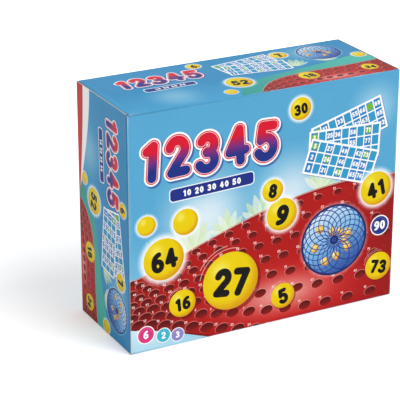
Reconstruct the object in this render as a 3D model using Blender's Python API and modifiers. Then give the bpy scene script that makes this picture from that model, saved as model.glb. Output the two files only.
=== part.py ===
"""Models a boxed bingo game: a printed carton with a tuck-in flap at each end, and the game packed in it.

The carton stands upright. X runs along its front, Y from the front to the back and Z up, and the
origin is the middle of its bottom. The game lies against the back panel, so its own upper side faces
the front of the carton. Lengths are in metres.
"""

import math

import bmesh
import bpy
from mathutils import Matrix, Vector

# Fits
GAP = 0.0003
CUT_OVERRUN = 0.002
MERGE_DISTANCE = 0.00001

# Carton
CARTON_WIDTH = 0.330
CARTON_DEPTH = 0.127
CARTON_HEIGHT = 0.272
SHEET = 0.0012
FOLD_GAP = 0.0002
END_FLOOR_GAP = 0.0006
END_FRONT_GAP = 0.0008
TUCK_LENGTH = 0.017
TUCK_CORNER = 0.009
TUCK_END_SETBACK = 0.002
TUCK_LEAN = math.radians(6)
DUST_LENGTH = 0.052
DUST_FRONT_SETBACK = 0.007
DUST_FRONT_SHOULDER = 0.006
DUST_REAR_SETBACK = 0.003
DUST_REAR_SLOPE = math.radians(30)
DUST_CORNER = 0.006
GLUE_FLAP_LENGTH = 0.022
GLUE_FLAP_SETBACK = 0.006
GLUE_FLAP_TAPER = 0.012

# Ball board
DECK_WIDTH = 0.308
DECK_LENGTH = 0.262
DECK_THICKNESS = 0.005
BOARD_HEIGHT = 0.014
BOARD_WALL = 0.002
BOARD_FRONT_CORNER = 0.022
BOARD_REAR_CORNER = 0.060
POCKET_RADIUS = 0.0066
POCKET_DEPTH = 0.0034
POCKET_SIDES = 10
POCKET_PITCH = 0.020
POCKET_FIRST_X = 0.030
POCKET_FIRST_ROW = 0.024
NEAR_COLUMNS = 6
NEAR_ROWS = 6
FAR_COLUMNS = 3
FAR_ROWS = 3
CHUTE_HALF_WIDTH = 0.011
CHUTE_DEPTH = 0.0115
CHUTE_TOP = 0.205
DISH_RADIUS = 0.019
DISH_PLACE = 0.030

# Ball cage, on an axis that runs along X
CAGE_RADIUS = 0.047
CAGE_BAR = 0.0018
CAGE_RIBS = 20
CAGE_ROWS = 16
CAGE_HUB_ROWS = 2
CAGE_PLACE = 0.200
CAGE_FRONT_CLEARANCE = 0.001
HUB_RADIUS = 0.0195
HUB_THICKNESS = 0.003
HUB_DOME = 0.004
TRUNNION_RADIUS = 0.004
TRUNNION_OVERHANG = 0.002
OUTLET_BORE_RADIUS = 0.0079
OUTLET_WALL = 0.002
OUTLET_PROUD = 0.004
OUTLET_INSET = 0.002
OUTLET_LIP = 0.0008

# Uprights and their caps
UPRIGHT_SPACING = 0.106
UPRIGHT_THICKNESS = 0.006
UPRIGHT_HEAD_RADIUS = 0.009
UPRIGHT_BASE_WIDTH = 0.048
BEARING_CLEARANCE = 0.0003
FOOT_WIDTH = 0.016
FOOT_LENGTH = 0.052
FOOT_THICKNESS = 0.003
GUSSET_THICKNESS = 0.003
GUSSET_OUTER_HEIGHT = 0.012
GUSSET_INNER_HEIGHT = 0.020
TAB_LENGTH = 0.020
TAB_DEPTH = 0.008

# Crank
CRANK_THROW = 0.032
CRANK_HUB_RADIUS = 0.008
CRANK_TIP_RADIUS = 0.0065
CRANK_THICKNESS = 0.006
CRANK_STANDOFF = 0.0008
PEG_RADIUS = 0.003
KNOB_RADIUS = 0.0075
KNOB_WAIST_RADIUS = 0.006
KNOB_LENGTH = 0.022
PEG_HEAD_RADIUS = 0.0045
PEG_HEAD_LENGTH = 0.0015

# Balls
BALL_RADIUS = 0.0075
BALL_GAP = 0.0004
BALL_LAYER_COUNTS = (7, 12, 7)

# Cards
CARD_WIDTH = 0.210
CARD_HEIGHT = 0.140
CARD_THICKNESS = 0.0016
CARD_CORNER = 0.006
CARD_COUNT = 6

# Facets
ARC_STEPS = 6
CARD_CORNER_STEPS = 2
ROUND_STEPS = 20
SHARP_ANGLE = math.radians(35)

LEFT, RIGHT = Vector((-1, 0, 0)), Vector((1, 0, 0))
FRONT, BACK = Vector((0, -1, 0)), Vector((0, 1, 0))
DOWN, UP = Vector((0, 0, -1)), Vector((0, 0, 1))
SIDES = {"left": LEFT, "right": RIGHT}

# Places that follow from the sizes
PANEL_END = CARTON_WIDTH / 2 - SHEET - GAP
INNER_FRONT = -CARTON_DEPTH / 2 + SHEET
END_FRONT = INNER_FRONT + END_FRONT_GAP
BOARD_UNDERSIDE = CARTON_DEPTH / 2 - 2 * (SHEET + GAP)
BOARD_TOP = BOARD_UNDERSIDE - BOARD_HEIGHT
BOARD_FRONT_EDGE = SHEET + GAP
OUTLET_RADIUS = OUTLET_BORE_RADIUS + OUTLET_WALL
OUTLET_REACH = CAGE_RADIUS + OUTLET_PROUD
CAGE_SWEEP = math.hypot(OUTLET_REACH, OUTLET_RADIUS - OUTLET_LIP)
CAGE_CENTRE = Vector((0, INNER_FRONT + CAGE_FRONT_CLEARANCE + CAGE_SWEEP, BOARD_FRONT_EDGE + CAGE_PLACE))
CAGE_INSIDE_RADIUS = CAGE_RADIUS * math.cos(math.pi / CAGE_RIBS) - CAGE_BAR / math.sqrt(2) - GAP
BEARING_RADIUS = TRUNNION_RADIUS + BEARING_CLEARANCE
UPRIGHT_OUTSIDE = UPRIGHT_SPACING / 2 + UPRIGHT_THICKNESS
CRANK_INSIDE = UPRIGHT_OUTSIDE + CRANK_STANDOFF
CRANK_OUTSIDE = CRANK_INSIDE + CRANK_THICKNESS
CRANK_TIP = CAGE_CENTRE + DOWN * CRANK_THROW


def clear_scene():
    """Removes what the startup file holds."""
    for obj in list(bpy.data.objects):
        bpy.data.objects.remove(obj, do_unlink=True)


def new_collection(name):
    """Adds a collection to the scene."""
    collection = bpy.data.collections.new(name)
    bpy.context.scene.collection.children.link(collection)
    return collection


def paint(name, colour, roughness, metallic=0.0):
    """Makes a plain material."""
    material = bpy.data.materials.new(name)
    material.use_nodes = True
    shader = material.node_tree.nodes["Principled BSDF"]
    shader.inputs["Base Color"].default_value = (*colour, 1)
    shader.inputs["Roughness"].default_value = roughness
    shader.inputs["Metallic"].default_value = metallic
    return material


clear_scene()
PARTS = new_collection("bingo_game")
CUTTERS = new_collection("cutters")

PRINTED_BOARD = paint("printed_board", (0.13, 0.42, 0.71), 0.35)
PLAIN_BOARD = paint("plain_board", (0.62, 0.60, 0.55), 0.75)
RED_PLASTIC = paint("red_plastic", (0.55, 0.01, 0.01), 0.30)
BLUE_PLASTIC = paint("blue_plastic", (0.02, 0.05, 0.22), 0.30)
YELLOW_PLASTIC = paint("yellow_plastic", (0.85, 0.56, 0.03), 0.35)
CARD_STOCK = paint("card_stock", (0.07, 0.25, 0.55), 0.55)


def add_part(name, data, material, place=None):
    """Adds an object to the parts, with its own material and its origin at the place."""
    obj = bpy.data.objects.new(name, data)
    obj.location = place or Vector()
    if not data.materials:
        data.materials.append(material)
    PARTS.objects.link(obj)
    return obj


def cutter(name, data, place):
    """Makes an object that only shapes others."""
    obj = bpy.data.objects.new(name, data)
    obj.location = place
    obj.hide_render = True
    obj.display_type = "WIRE"
    return obj


def combine(obj, others, operation):
    """Joins cutters to an object, or cuts them out of it, all at once."""
    group = bpy.data.collections.new(f"{obj.name}_{operation.lower()}")
    CUTTERS.children.link(group)
    for other in others:
        group.objects.link(other)
    boolean = obj.modifiers.new(group.name, "BOOLEAN")
    boolean.operation = operation
    boolean.operand_type = "COLLECTION"
    boolean.collection = group


def mesh_from(bm, name, is_round=False):
    """Turns a bmesh into a mesh. A round one is shaded smooth, with its real edges sharp."""
    mesh = bpy.data.meshes.new(name)
    bm.to_mesh(mesh)
    bm.free()
    if is_round:
        mesh.shade_smooth()
        mesh.set_sharp_from_angle(angle=SHARP_ANGLE)
    return mesh


def box_mesh(name, low, high):
    """A box between two corners."""
    bm = bmesh.new()
    bmesh.ops.create_cube(bm, size=1)
    low, high = Vector(low), Vector(high)
    bmesh.ops.scale(bm, vec=high - low, verts=bm.verts)
    bmesh.ops.translate(bm, vec=(low + high) / 2, verts=bm.verts)
    return mesh_from(bm, name)


def joined(name, meshes):
    """One mesh of several that don't touch."""
    bm = bmesh.new()
    for mesh in meshes:
        bm.from_mesh(mesh)
        bpy.data.meshes.remove(mesh)
    return mesh_from(bm, name)


def arc(centre, radius, start, end, steps):
    """Points along an arc, both ends included."""
    angles = [start + (end - start) * step / steps for step in range(steps + 1)]
    return [(centre[0] + radius * math.cos(a), centre[1] + radius * math.sin(a)) for a in angles]


def rounded_rectangle(low, high, lower_corner, upper_corner, steps=ARC_STEPS):
    """A rectangle's outline, counterclockwise, with its lower and its upper corners rounded."""
    quarter = math.pi / 2
    corners = (
        (high[0] - lower_corner, low[1] + lower_corner, lower_corner, -quarter),
        (high[0] - upper_corner, high[1] - upper_corner, upper_corner, 0),
        (low[0] + upper_corner, high[1] - upper_corner, upper_corner, quarter),
        (low[0] + lower_corner, low[1] + lower_corner, lower_corner, 2 * quarter),
    )
    outline = []
    for x, y, radius, start in corners:
        outline += arc((x, y), radius, start, start + quarter, steps)
    return outline


def outline_curve(name, outline, thickness):
    """A flat curve that fills an outline and is as thick as asked, half to each side."""
    curve = bpy.data.curves.new(name, "CURVE")
    curve.dimensions = "2D"
    curve.fill_mode = "BOTH"
    curve.extrude = thickness / 2
    spline = curve.splines.new("POLY")
    spline.points.add(len(outline) - 1)
    for point, (u, v) in zip(spline.points, outline):
        point.co = (u, v, 0, 1)
    spline.use_cyclic_u = True
    return curve


def stand(along, across):
    """The turn that lays a flat outline's two directions along two directions of the carton."""
    normal = along.cross(across)
    return Matrix((along, across, normal)).transposed()


def flat_mesh(name, outline, thickness, along, across, offset):
    """An extruded outline as a closed mesh. Its middle plane lies at the offset."""
    curve = outline_curve(name, outline, thickness)
    holder = bpy.data.objects.new(name, curve)
    bpy.context.scene.collection.objects.link(holder)
    depsgraph = bpy.context.evaluated_depsgraph_get()
    mesh = bpy.data.meshes.new_from_object(holder.evaluated_get(depsgraph))
    bpy.data.objects.remove(holder, do_unlink=True)
    bpy.data.curves.remove(curve)
    bm = bmesh.new()
    bm.from_mesh(mesh)
    bpy.data.meshes.remove(mesh)
    bmesh.ops.remove_doubles(bm, verts=bm.verts, dist=MERGE_DISTANCE)
    bmesh.ops.rotate(bm, matrix=stand(along, across), verts=bm.verts)
    bmesh.ops.translate(bm, vec=offset, verts=bm.verts)
    return mesh_from(bm, name)


def profile_mesh(name, profile, closed=False):
    """A profile of (radius, height) points, from the top of its outer side to the bottom."""
    mesh = bpy.data.meshes.new(name)
    points = [(radius, 0, height) for radius, height in profile]
    edges = [(i, i + 1) for i in range(len(points) - 1)]
    if closed:
        edges.append((len(points) - 1, 0))
    mesh.from_pydata(points, edges, [])
    return mesh


def turn(obj, steps=ROUND_STEPS):
    """Turns an object's profile round its own Z axis."""
    screw = obj.modifiers.new("turn", "SCREW")
    screw.steps = screw.render_steps = steps
    screw.use_merge_vertices = True
    screw.merge_threshold = MERGE_DISTANCE
    return obj


def aim(obj, direction):
    """Points an object's own Z axis in a direction."""
    obj.rotation_mode = "QUATERNION"
    obj.rotation_quaternion = direction.to_track_quat("Z", "Y")
    return obj


def cylinder_mesh(name, radius, low, high, direction, sides=ROUND_STEPS):
    """A cylinder along a direction between two distances from the origin."""
    bm = bmesh.new()
    bmesh.ops.create_cone(bm, cap_ends=True, segments=sides, radius1=radius, radius2=radius, depth=high - low)
    bmesh.ops.translate(bm, vec=UP * (low + high) / 2, verts=bm.verts)
    bmesh.ops.rotate(bm, matrix=direction.to_track_quat("Z", "Y").to_matrix(), verts=bm.verts)
    return mesh_from(bm, name, is_round=True)


def panel(name, low, high, outside, mitred_edges, pivot=None):
    """A flat panel between two corners. Its inner face is drawn in by the sheet at each mitred edge."""
    mesh = box_mesh(name, low, high)
    centre = (Vector(low) + Vector(high)) / 2
    for vertex in mesh.vertices:
        if (vertex.co - centre).dot(outside) > 0:
            continue
        for edge in mitred_edges:
            if (vertex.co - centre).dot(edge) > 0:
                vertex.co -= edge * SHEET
    if pivot:
        mesh.transform(Matrix.Translation(-pivot))
    return add_part(name, mesh, PRINTED_BOARD, pivot)


def add_sleeve():
    """The four panels that wrap round the carton, and the flap that is glued inside the back one."""
    x, y, z = CARTON_WIDTH / 2, CARTON_DEPTH / 2, CARTON_HEIGHT
    panel("front_panel", (-x, -y, FOLD_GAP), (x, -y + SHEET, z - FOLD_GAP), FRONT, (UP, DOWN))
    panel("top_panel", (-PANEL_END, -y + FOLD_GAP, z - SHEET), (PANEL_END, y - FOLD_GAP, z), UP, (FRONT, BACK))
    panel("bottom_panel", (-PANEL_END, -y + FOLD_GAP, 0), (PANEL_END, y - FOLD_GAP, SHEET), DOWN, (FRONT, BACK))
    back_edges = (UP, DOWN, LEFT, RIGHT)
    panel("back_panel", (-x + FOLD_GAP, y - SHEET, FOLD_GAP), (x - FOLD_GAP, y, z - FOLD_GAP), BACK, back_edges)

    half = PANEL_END - GLUE_FLAP_SETBACK
    root, tip = SHEET + GAP, SHEET + GAP + GLUE_FLAP_LENGTH
    outline = [(-half, root), (half, root), (half - GLUE_FLAP_TAPER, tip), (-half + GLUE_FLAP_TAPER, tip)]
    middle = CARTON_DEPTH / 2 - SHEET - GAP - SHEET / 2
    flap = add_part("glue_flap", outline_curve("glue_flap", outline, SHEET), PLAIN_BOARD, Vector((0, middle, 0)))
    flap.rotation_euler = stand(RIGHT, UP).to_euler()


def dust_flap_outline():
    """A dust flap from its fold, in distances from the fold and from the carton's middle plane."""
    root = SHEET + GAP
    front = INNER_FRONT + DUST_FRONT_SETBACK
    rear = CARTON_DEPTH / 2 - SHEET - DUST_REAR_SETBACK
    rear_tip = rear - (DUST_LENGTH - root) * math.tan(DUST_REAR_SLOPE)
    corner = DUST_CORNER
    return [
        (root, front),
        (root + DUST_FRONT_SHOULDER, front),
        (root + 2 * DUST_FRONT_SHOULDER, front + DUST_FRONT_SHOULDER),
        (DUST_LENGTH - corner, front + DUST_FRONT_SHOULDER),
        (DUST_LENGTH, front + DUST_FRONT_SHOULDER + corner),
        (DUST_LENGTH, rear_tip - corner),
        (DUST_LENGTH - corner, rear_tip + corner * math.tan(DUST_REAR_SLOPE)),
        (root, rear),
    ]


def add_end(side, outward):
    """One end: the end panel on its back fold, its tuck flap, and the two dust flaps behind it."""
    hinge = Vector((outward.x * CARTON_WIDTH / 2, CARTON_DEPTH / 2, 0))
    faces = sorted((hinge.x, hinge.x - outward.x * SHEET))
    low = (faces[0], END_FRONT, END_FLOOR_GAP)
    high = (faces[1], CARTON_DEPTH / 2 - FOLD_GAP, CARTON_HEIGHT - GAP)
    panel(f"{side}_end_panel", low, high, outward, (BACK,), hinge)

    name = f"{side}_tuck_flap"
    root = SHEET + 2 * GAP
    reach = root + TUCK_LENGTH
    low_edge, high_edge = END_FLOOR_GAP + TUCK_END_SETBACK + SHEET, CARTON_HEIGHT - SHEET - TUCK_END_SETBACK
    outline = [(root, low_edge)]
    outline += arc((reach - TUCK_CORNER, low_edge + TUCK_CORNER), TUCK_CORNER, -math.pi / 2, 0, ARC_STEPS)
    outline += arc((reach - TUCK_CORNER, high_edge - TUCK_CORNER), TUCK_CORNER, 0, math.pi / 2, ARC_STEPS)
    outline += [(root, high_edge)]
    inward = -outward * math.cos(TUCK_LEAN) + BACK * math.sin(TUCK_LEAN)
    rearward = BACK * math.cos(TUCK_LEAN) + outward * math.sin(TUCK_LEAN)
    mesh = flat_mesh(name, outline, SHEET, inward, UP, rearward * SHEET / 2)
    add_part(name, mesh, PRINTED_BOARD, Vector((hinge.x, END_FRONT, 0)))

    for level, fold_height, inside in (("top", CARTON_HEIGHT, DOWN), ("bottom", 0, UP)):
        name = f"{side}_{level}_dust_flap"
        mesh = flat_mesh(name, dust_flap_outline(), SHEET, inside, BACK, -outward * SHEET / 2)
        add_part(name, mesh, PLAIN_BOARD, Vector((outward.x * PANEL_END, 0, fold_height)))


def pocket_places():
    """The 90 pockets, as distances from the middle and from the board's front edge."""
    blocks = (
        (0, NEAR_COLUMNS, 0, NEAR_ROWS),
        (NEAR_COLUMNS - FAR_COLUMNS, NEAR_COLUMNS, NEAR_ROWS, NEAR_ROWS + FAR_ROWS),
    )
    for first_column, end_column, first_row, end_row in blocks:
        for row in range(first_row, end_row):
            for column in range(first_column, end_column):
                x = POCKET_FIRST_X + column * POCKET_PITCH
                z = POCKET_FIRST_ROW + row * POCKET_PITCH
                yield -x, z
                yield x, z


def hollow_outline(side_sign):
    """One half of the hollow under the board, beside the walls of the chute and the dish."""
    outer = DECK_WIDTH / 2 - BOARD_WALL
    chute_wall = CHUTE_HALF_WIDTH + BOARD_WALL
    dish_wall = DISH_RADIUS + BOARD_WALL
    dish_end = DISH_PLACE + DISH_RADIUS + BOARD_WALL
    low, high = BOARD_WALL, DECK_LENGTH - BOARD_WALL
    front_corner, rear_corner = BOARD_FRONT_CORNER - BOARD_WALL, BOARD_REAR_CORNER - BOARD_WALL
    outline = [(dish_wall, low)]
    outline += arc((outer - front_corner, low + front_corner), front_corner, -math.pi / 2, 0, ARC_STEPS)
    outline += arc((outer - rear_corner, high - rear_corner), rear_corner, 0, math.pi / 2, ARC_STEPS)
    outline += [(chute_wall, high), (chute_wall, dish_end), (dish_wall, dish_end)]
    return [(side_sign * x, z) for x, z in outline]


def chute_outline():
    """The ball chute and the round dish that it ends in."""
    meet = math.acos(CHUTE_HALF_WIDTH / DISH_RADIUS)
    dish = arc((0, DISH_PLACE), DISH_RADIUS, math.pi - meet, 2 * math.pi + meet, 3 * ARC_STEPS)
    end = arc((0, CHUTE_TOP), CHUTE_HALF_WIDTH, 0, math.pi, ARC_STEPS)
    return dish + end


def add_ball_board():
    """The numbered board: a thin-walled tray with a deck of pockets, the chute and the upright slots."""
    name = "ball_board"
    origin = Vector((0, BOARD_TOP, BOARD_FRONT_EDGE))
    half = DECK_WIDTH / 2
    outline = rounded_rectangle((-half, 0), (half, DECK_LENGTH), BOARD_FRONT_CORNER, BOARD_REAR_CORNER)
    middle = BACK * BOARD_HEIGHT / 2
    board = add_part(name, flat_mesh(name, outline, BOARD_HEIGHT, RIGHT, UP, middle), RED_PLASTIC, origin)

    depth = BOARD_HEIGHT - DECK_THICKNESS
    middle = BACK * (DECK_THICKNESS + (depth + CUT_OVERRUN) / 2)
    halves = [flat_mesh("hollow", hollow_outline(outward.x), depth + CUT_OVERRUN, RIGHT, UP, middle)
              for outward in SIDES.values()]
    hollows = cutter("hollows", joined("hollows", halves), origin)

    middle = BACK * (CHUTE_DEPTH - CUT_OVERRUN) / 2
    mesh = flat_mesh("chute", chute_outline(), CHUTE_DEPTH + CUT_OVERRUN, RIGHT, UP, middle)
    chute = cutter("chute", mesh, origin)

    bm = bmesh.new()
    turn_to_y = BACK.to_track_quat("Z", "Y").to_matrix().to_4x4()
    for x, z in pocket_places():
        place = Matrix.Translation((x, (POCKET_DEPTH - CUT_OVERRUN) / 2, z)) @ turn_to_y
        bmesh.ops.create_cone(bm, cap_ends=True, segments=POCKET_SIDES, radius1=POCKET_RADIUS,
                              radius2=POCKET_RADIUS, depth=POCKET_DEPTH + CUT_OVERRUN, matrix=place)
    pockets = cutter("pockets", mesh_from(bm, "pockets", is_round=True), origin)

    slot_half = UPRIGHT_THICKNESS / 2 + GAP
    slot_meshes = []
    for outward in SIDES.values():
        x = outward.x * (UPRIGHT_SPACING + UPRIGHT_THICKNESS) / 2
        low = (x - slot_half, -CUT_OVERRUN, CAGE_PLACE - TAB_LENGTH / 2 - GAP)
        high = (x + slot_half, DECK_THICKNESS + CUT_OVERRUN, CAGE_PLACE + TAB_LENGTH / 2 + GAP)
        slot_meshes.append(box_mesh("slot", low, high))
    slots = cutter("slots", joined("slots", slot_meshes), origin)
    combine(board, (hollows, chute, pockets, slots), "DIFFERENCE")


def add_upright(side, outward):
    """An upright with an open bearing at its head, a foot on the deck and a tab through it, and its cap."""
    name = f"{side}_upright"
    height = BOARD_TOP - CAGE_CENTRE.y
    base, tab, head = UPRIGHT_BASE_WIDTH / 2, TAB_LENGTH / 2, UPRIGHT_HEAD_RADIUS
    bearing = arc((0, 0), BEARING_RADIUS, math.pi, 2 * math.pi, 2 * ARC_STEPS)
    foot_level = GAP - height
    in_foot = foot_level + FOOT_THICKNESS / 2
    outline = [(-head, 0)] + bearing + [(head, 0), (base, in_foot), (tab, in_foot)]
    outline += [(tab, -height - TAB_DEPTH), (-tab, -height - TAB_DEPTH), (-tab, in_foot), (-base, in_foot)]
    middle = outward * (UPRIGHT_SPACING + UPRIGHT_THICKNESS) / 2
    mesh = flat_mesh(name, outline, UPRIGHT_THICKNESS, UP, FRONT, middle)
    upright = add_part(name, mesh, RED_PLASTIC, CAGE_CENTRE)

    low = (middle.x - FOOT_WIDTH / 2, -foot_level - FOOT_THICKNESS, -FOOT_LENGTH / 2)
    high = (middle.x + FOOT_WIDTH / 2, -foot_level, FOOT_LENGTH / 2)
    joins = [cutter(f"{side}_foot", box_mesh(f"{side}_foot", low, high), CAGE_CENTRE)]
    ledge = (FOOT_WIDTH - UPRIGHT_THICKNESS) / 2
    for face, direction, rise in (("outer", outward, GUSSET_OUTER_HEIGHT), ("inner", -outward, GUSSET_INNER_HEIGHT)):
        gusset = [(0, in_foot), (UPRIGHT_THICKNESS / 2 + ledge, in_foot), (UPRIGHT_THICKNESS / 2, in_foot + rise),
                  (0, in_foot + rise)]
        mesh = flat_mesh(f"{side}_{face}_gusset", gusset, GUSSET_THICKNESS, direction, FRONT, middle)
        joins.append(cutter(f"{side}_{face}_gusset", mesh, CAGE_CENTRE))
    combine(upright, joins, "UNION")

    name = f"{side}_bearing_cap"
    outer = arc((0, GAP), head, 0, math.pi, 2 * ARC_STEPS)
    inner = arc((0, 0), BEARING_RADIUS, math.pi, 0, 2 * ARC_STEPS)
    seat = [(BEARING_RADIUS, GAP), (-BEARING_RADIUS, GAP)]
    outline = outer + [seat[1]] + inner[1:-1] + [seat[0]]
    mesh = flat_mesh(name, outline, UPRIGHT_THICKNESS, UP, FRONT, middle)
    add_part(name, mesh, RED_PLASTIC, CAGE_CENTRE)


def lattice_mesh(name, outward):
    """Half a ball of crossing ribs as an open sheet of diamonds, from the middle ring to the hub."""
    row_angle = math.pi / CAGE_ROWS
    last_row = CAGE_ROWS // 2 - CAGE_HUB_ROWS
    bm = bmesh.new()
    bmesh.ops.create_uvsphere(bm, u_segments=CAGE_RIBS, v_segments=CAGE_ROWS, radius=CAGE_RADIUS)

    def row(vertex):
        return round(math.asin(max(-1, min(1, vertex.co.z / CAGE_RADIUS))) / row_angle)

    outside = [vertex for vertex in bm.verts if not 0 <= row(vertex) <= last_row]
    bmesh.ops.delete(bm, geom=outside, context="VERTS")
    half_rib = Matrix.Rotation(math.pi / CAGE_RIBS, 3, "Z")
    rows = {vertex: row(vertex) for vertex in bm.verts}
    bmesh.ops.rotate(bm, matrix=half_rib, verts=[vertex for vertex in bm.verts if rows[vertex] % 2])
    bmesh.ops.triangulate(bm, faces=bm.faces, quad_method="SHORT_EDGE")
    rings = [edge for edge in bm.edges if rows[edge.verts[0]] == rows[edge.verts[1]] and not edge.is_boundary]
    bmesh.ops.dissolve_edges(bm, edges=rings)
    bmesh.ops.translate(bm, vec=UP * (CAGE_BAR + GAP) / 2, verts=bm.verts)
    bmesh.ops.rotate(bm, matrix=Matrix.Rotation(outward.x * math.pi / 2, 3, "Y"), verts=bm.verts)
    return mesh_from(bm, name)


def hub_profile(end):
    """The hub that closes a cage half, with its trunnion, in distances from the cage's centre."""
    rim_angle = math.pi / 2 - CAGE_HUB_ROWS * math.pi / CAGE_ROWS
    rim = CAGE_RADIUS * math.sin(rim_angle) + (CAGE_BAR + GAP) / 2
    top = rim + HUB_THICKNESS / 2
    crown = top + HUB_DOME
    return [
        (0, end), (TRUNNION_RADIUS, end), (TRUNNION_RADIUS, crown), (2 * TRUNNION_RADIUS, crown),
        (HUB_RADIUS, top), (HUB_RADIUS, top - HUB_THICKNESS), (2 * TRUNNION_RADIUS, crown - HUB_THICKNESS),
        (0, crown - HUB_THICKNESS),
    ]


def add_cage():
    """The two halves of the cage and the ring that lets out one ball."""
    cut = cylinder_mesh("outlet_hole", OUTLET_RADIUS + GAP, CAGE_RADIUS / 2, OUTLET_REACH + CUT_OVERRUN, UP)
    hole = cutter("outlet_hole", cut, CAGE_CENTRE)
    ends = {"left": CRANK_OUTSIDE - GAP, "right": UPRIGHT_OUTSIDE + TRUNNION_OVERHANG}
    for side, outward in SIDES.items():
        name = f"cage_{side}_half"
        half = add_part(name, lattice_mesh(name, outward), BLUE_PLASTIC, CAGE_CENTRE)
        wire = half.modifiers.new("ribs", "WIREFRAME")
        wire.thickness = CAGE_BAR
        wire.use_boundary = True
        wire.use_even_offset = False
        hub = cutter(f"{side}_hub", profile_mesh(f"{side}_hub", hub_profile(ends[side])), CAGE_CENTRE)
        combine(half, [aim(turn(hub), outward)], "UNION")
        combine(half, [hole], "DIFFERENCE")

    low, high = CAGE_RADIUS - OUTLET_INSET, OUTLET_REACH
    bore, wall, lip = OUTLET_BORE_RADIUS, OUTLET_RADIUS, OUTLET_LIP
    profile = [(bore, high - lip), (bore + lip, high), (wall - lip, high), (wall, high - lip), (wall, low)]
    profile += [(bore, low)]
    mesh = profile_mesh("outlet_ring", profile, closed=True)
    turn(add_part("outlet_ring", mesh, BLUE_PLASTIC, CAGE_CENTRE))


def add_crank():
    """The crank arm on the end of the left trunnion, with its peg, and the knob that turns on the peg."""
    lean = math.asin((CRANK_HUB_RADIUS - CRANK_TIP_RADIUS) / CRANK_THROW)
    outline = arc((0, 0), CRANK_HUB_RADIUS, -lean, math.pi + lean, 2 * ARC_STEPS)
    outline += arc((0, -CRANK_THROW), CRANK_TIP_RADIUS, math.pi + lean, 2 * math.pi - lean, 2 * ARC_STEPS)
    middle = LEFT * (CRANK_INSIDE + CRANK_OUTSIDE) / 2
    mesh = flat_mesh("crank_arm", outline, CRANK_THICKNESS, BACK, UP, middle)
    arm = add_part("crank_arm", mesh, RED_PLASTIC, CAGE_CENTRE)
    bore = cylinder_mesh("crank_bore", BEARING_RADIUS, CRANK_INSIDE - CUT_OVERRUN, CRANK_OUTSIDE + CUT_OVERRUN, LEFT)
    combine(arm, [cutter("crank_bore", bore, CAGE_CENTRE)], "DIFFERENCE")

    knob_low = CRANK_OUTSIDE + GAP
    knob_high = knob_low + KNOB_LENGTH
    peg_end = knob_high + GAP + PEG_HEAD_LENGTH
    start = CRANK_INSIDE + CRANK_THICKNESS / 2
    profile = [(0, peg_end), (PEG_HEAD_RADIUS, peg_end), (PEG_HEAD_RADIUS, knob_high + GAP)]
    profile += [(PEG_RADIUS, knob_high + GAP), (PEG_RADIUS, start), (0, start)]
    peg = cutter("crank_peg", profile_mesh("crank_peg", profile), CRANK_TIP)
    combine(arm, [aim(turn(peg), LEFT)], "UNION")

    bore = PEG_RADIUS + BEARING_CLEARANCE
    steps = 2 * ARC_STEPS
    profile = [(bore, knob_high)]
    for step in range(steps + 1):
        swell = KNOB_WAIST_RADIUS + (KNOB_RADIUS - KNOB_WAIST_RADIUS) * math.sin(math.pi * step / steps)
        profile.append((swell, knob_high - KNOB_LENGTH * step / steps))
    profile += [(bore, knob_low)]
    knob = add_part("crank_knob", profile_mesh("crank_knob", profile, closed=True), RED_PLASTIC, CRANK_TIP)
    aim(turn(knob), LEFT)


def ball_layers():
    """Ball centres from the cage's own, as layers of a close packing that starts at the bottom."""
    spacing = 2 * BALL_RADIUS + BALL_GAP
    reach = CAGE_INSIDE_RADIUS - BALL_RADIUS
    lowest = -math.sqrt(reach ** 2 - spacing ** 2)
    span = range(-len(BALL_LAYER_COUNTS) - 1, len(BALL_LAYER_COUNTS) + 2)
    for layer, count in enumerate(BALL_LAYER_COUNTS):
        shift = spacing / math.sqrt(3) if layer % 2 else 0
        places = []
        for row in span:
            for column in span:
                x = spacing * (column + row / 2)
                y = spacing * row * math.sqrt(3) / 2 + shift
                places.append((x, y))
        places.sort(key=lambda place: (round(math.hypot(*place) / spacing, 3), math.atan2(place[1], place[0])))
        z = lowest + layer * spacing * math.sqrt(2 / 3)
        for x, y in places[:count]:
            yield Vector((x, y, z))


def add_balls():
    """The balls that lie in the bottom of the cage, all of one mesh."""
    bm = bmesh.new()
    bmesh.ops.create_icosphere(bm, subdivisions=2, radius=BALL_RADIUS)
    mesh = mesh_from(bm, "ball", is_round=True)
    for number, place in enumerate(ball_layers(), start=1):
        add_part(f"ball_{number:02d}", mesh, YELLOW_PLASTIC, CAGE_CENTRE + place)


def add_cards():
    """The cards, which stand on the bottom panel behind the front one."""
    half = CARD_WIDTH / 2
    outline = rounded_rectangle((-half, 0), (half, CARD_HEIGHT), CARD_CORNER, CARD_CORNER, CARD_CORNER_STEPS)
    mesh = flat_mesh("card", outline, CARD_THICKNESS, RIGHT, UP, BACK * CARD_THICKNESS / 2)
    for number in range(CARD_COUNT):
        front = INNER_FRONT + GAP + number * (CARD_THICKNESS + GAP)
        add_part(f"card_{number + 1}", mesh, CARD_STOCK, Vector((0, front, SHEET + GAP)))


add_sleeve()
add_ball_board()
for side_name, side_outward in SIDES.items():
    add_end(side_name, side_outward)
    add_upright(side_name, side_outward)
add_cage()
add_crank()
add_balls()
add_cards()
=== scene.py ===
"""The looks of the boxed bingo game: its printed carton, the game packed in it, and a plain studio.

A print is a stack of flat shapes, drawn in millimetres. Each sheet of board is cut along the outlines of its
print, so the ink is in the mesh, in the attribute that the printed finishes read.
"""

import math
from collections import namedtuple
from functools import lru_cache, partialmethod

import bmesh
import bpy
import numpy as np
from mathutils import Matrix, Vector
from mathutils.geometry import delaunay_2d_cdt
from mathutils.kdtree import KDTree


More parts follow.
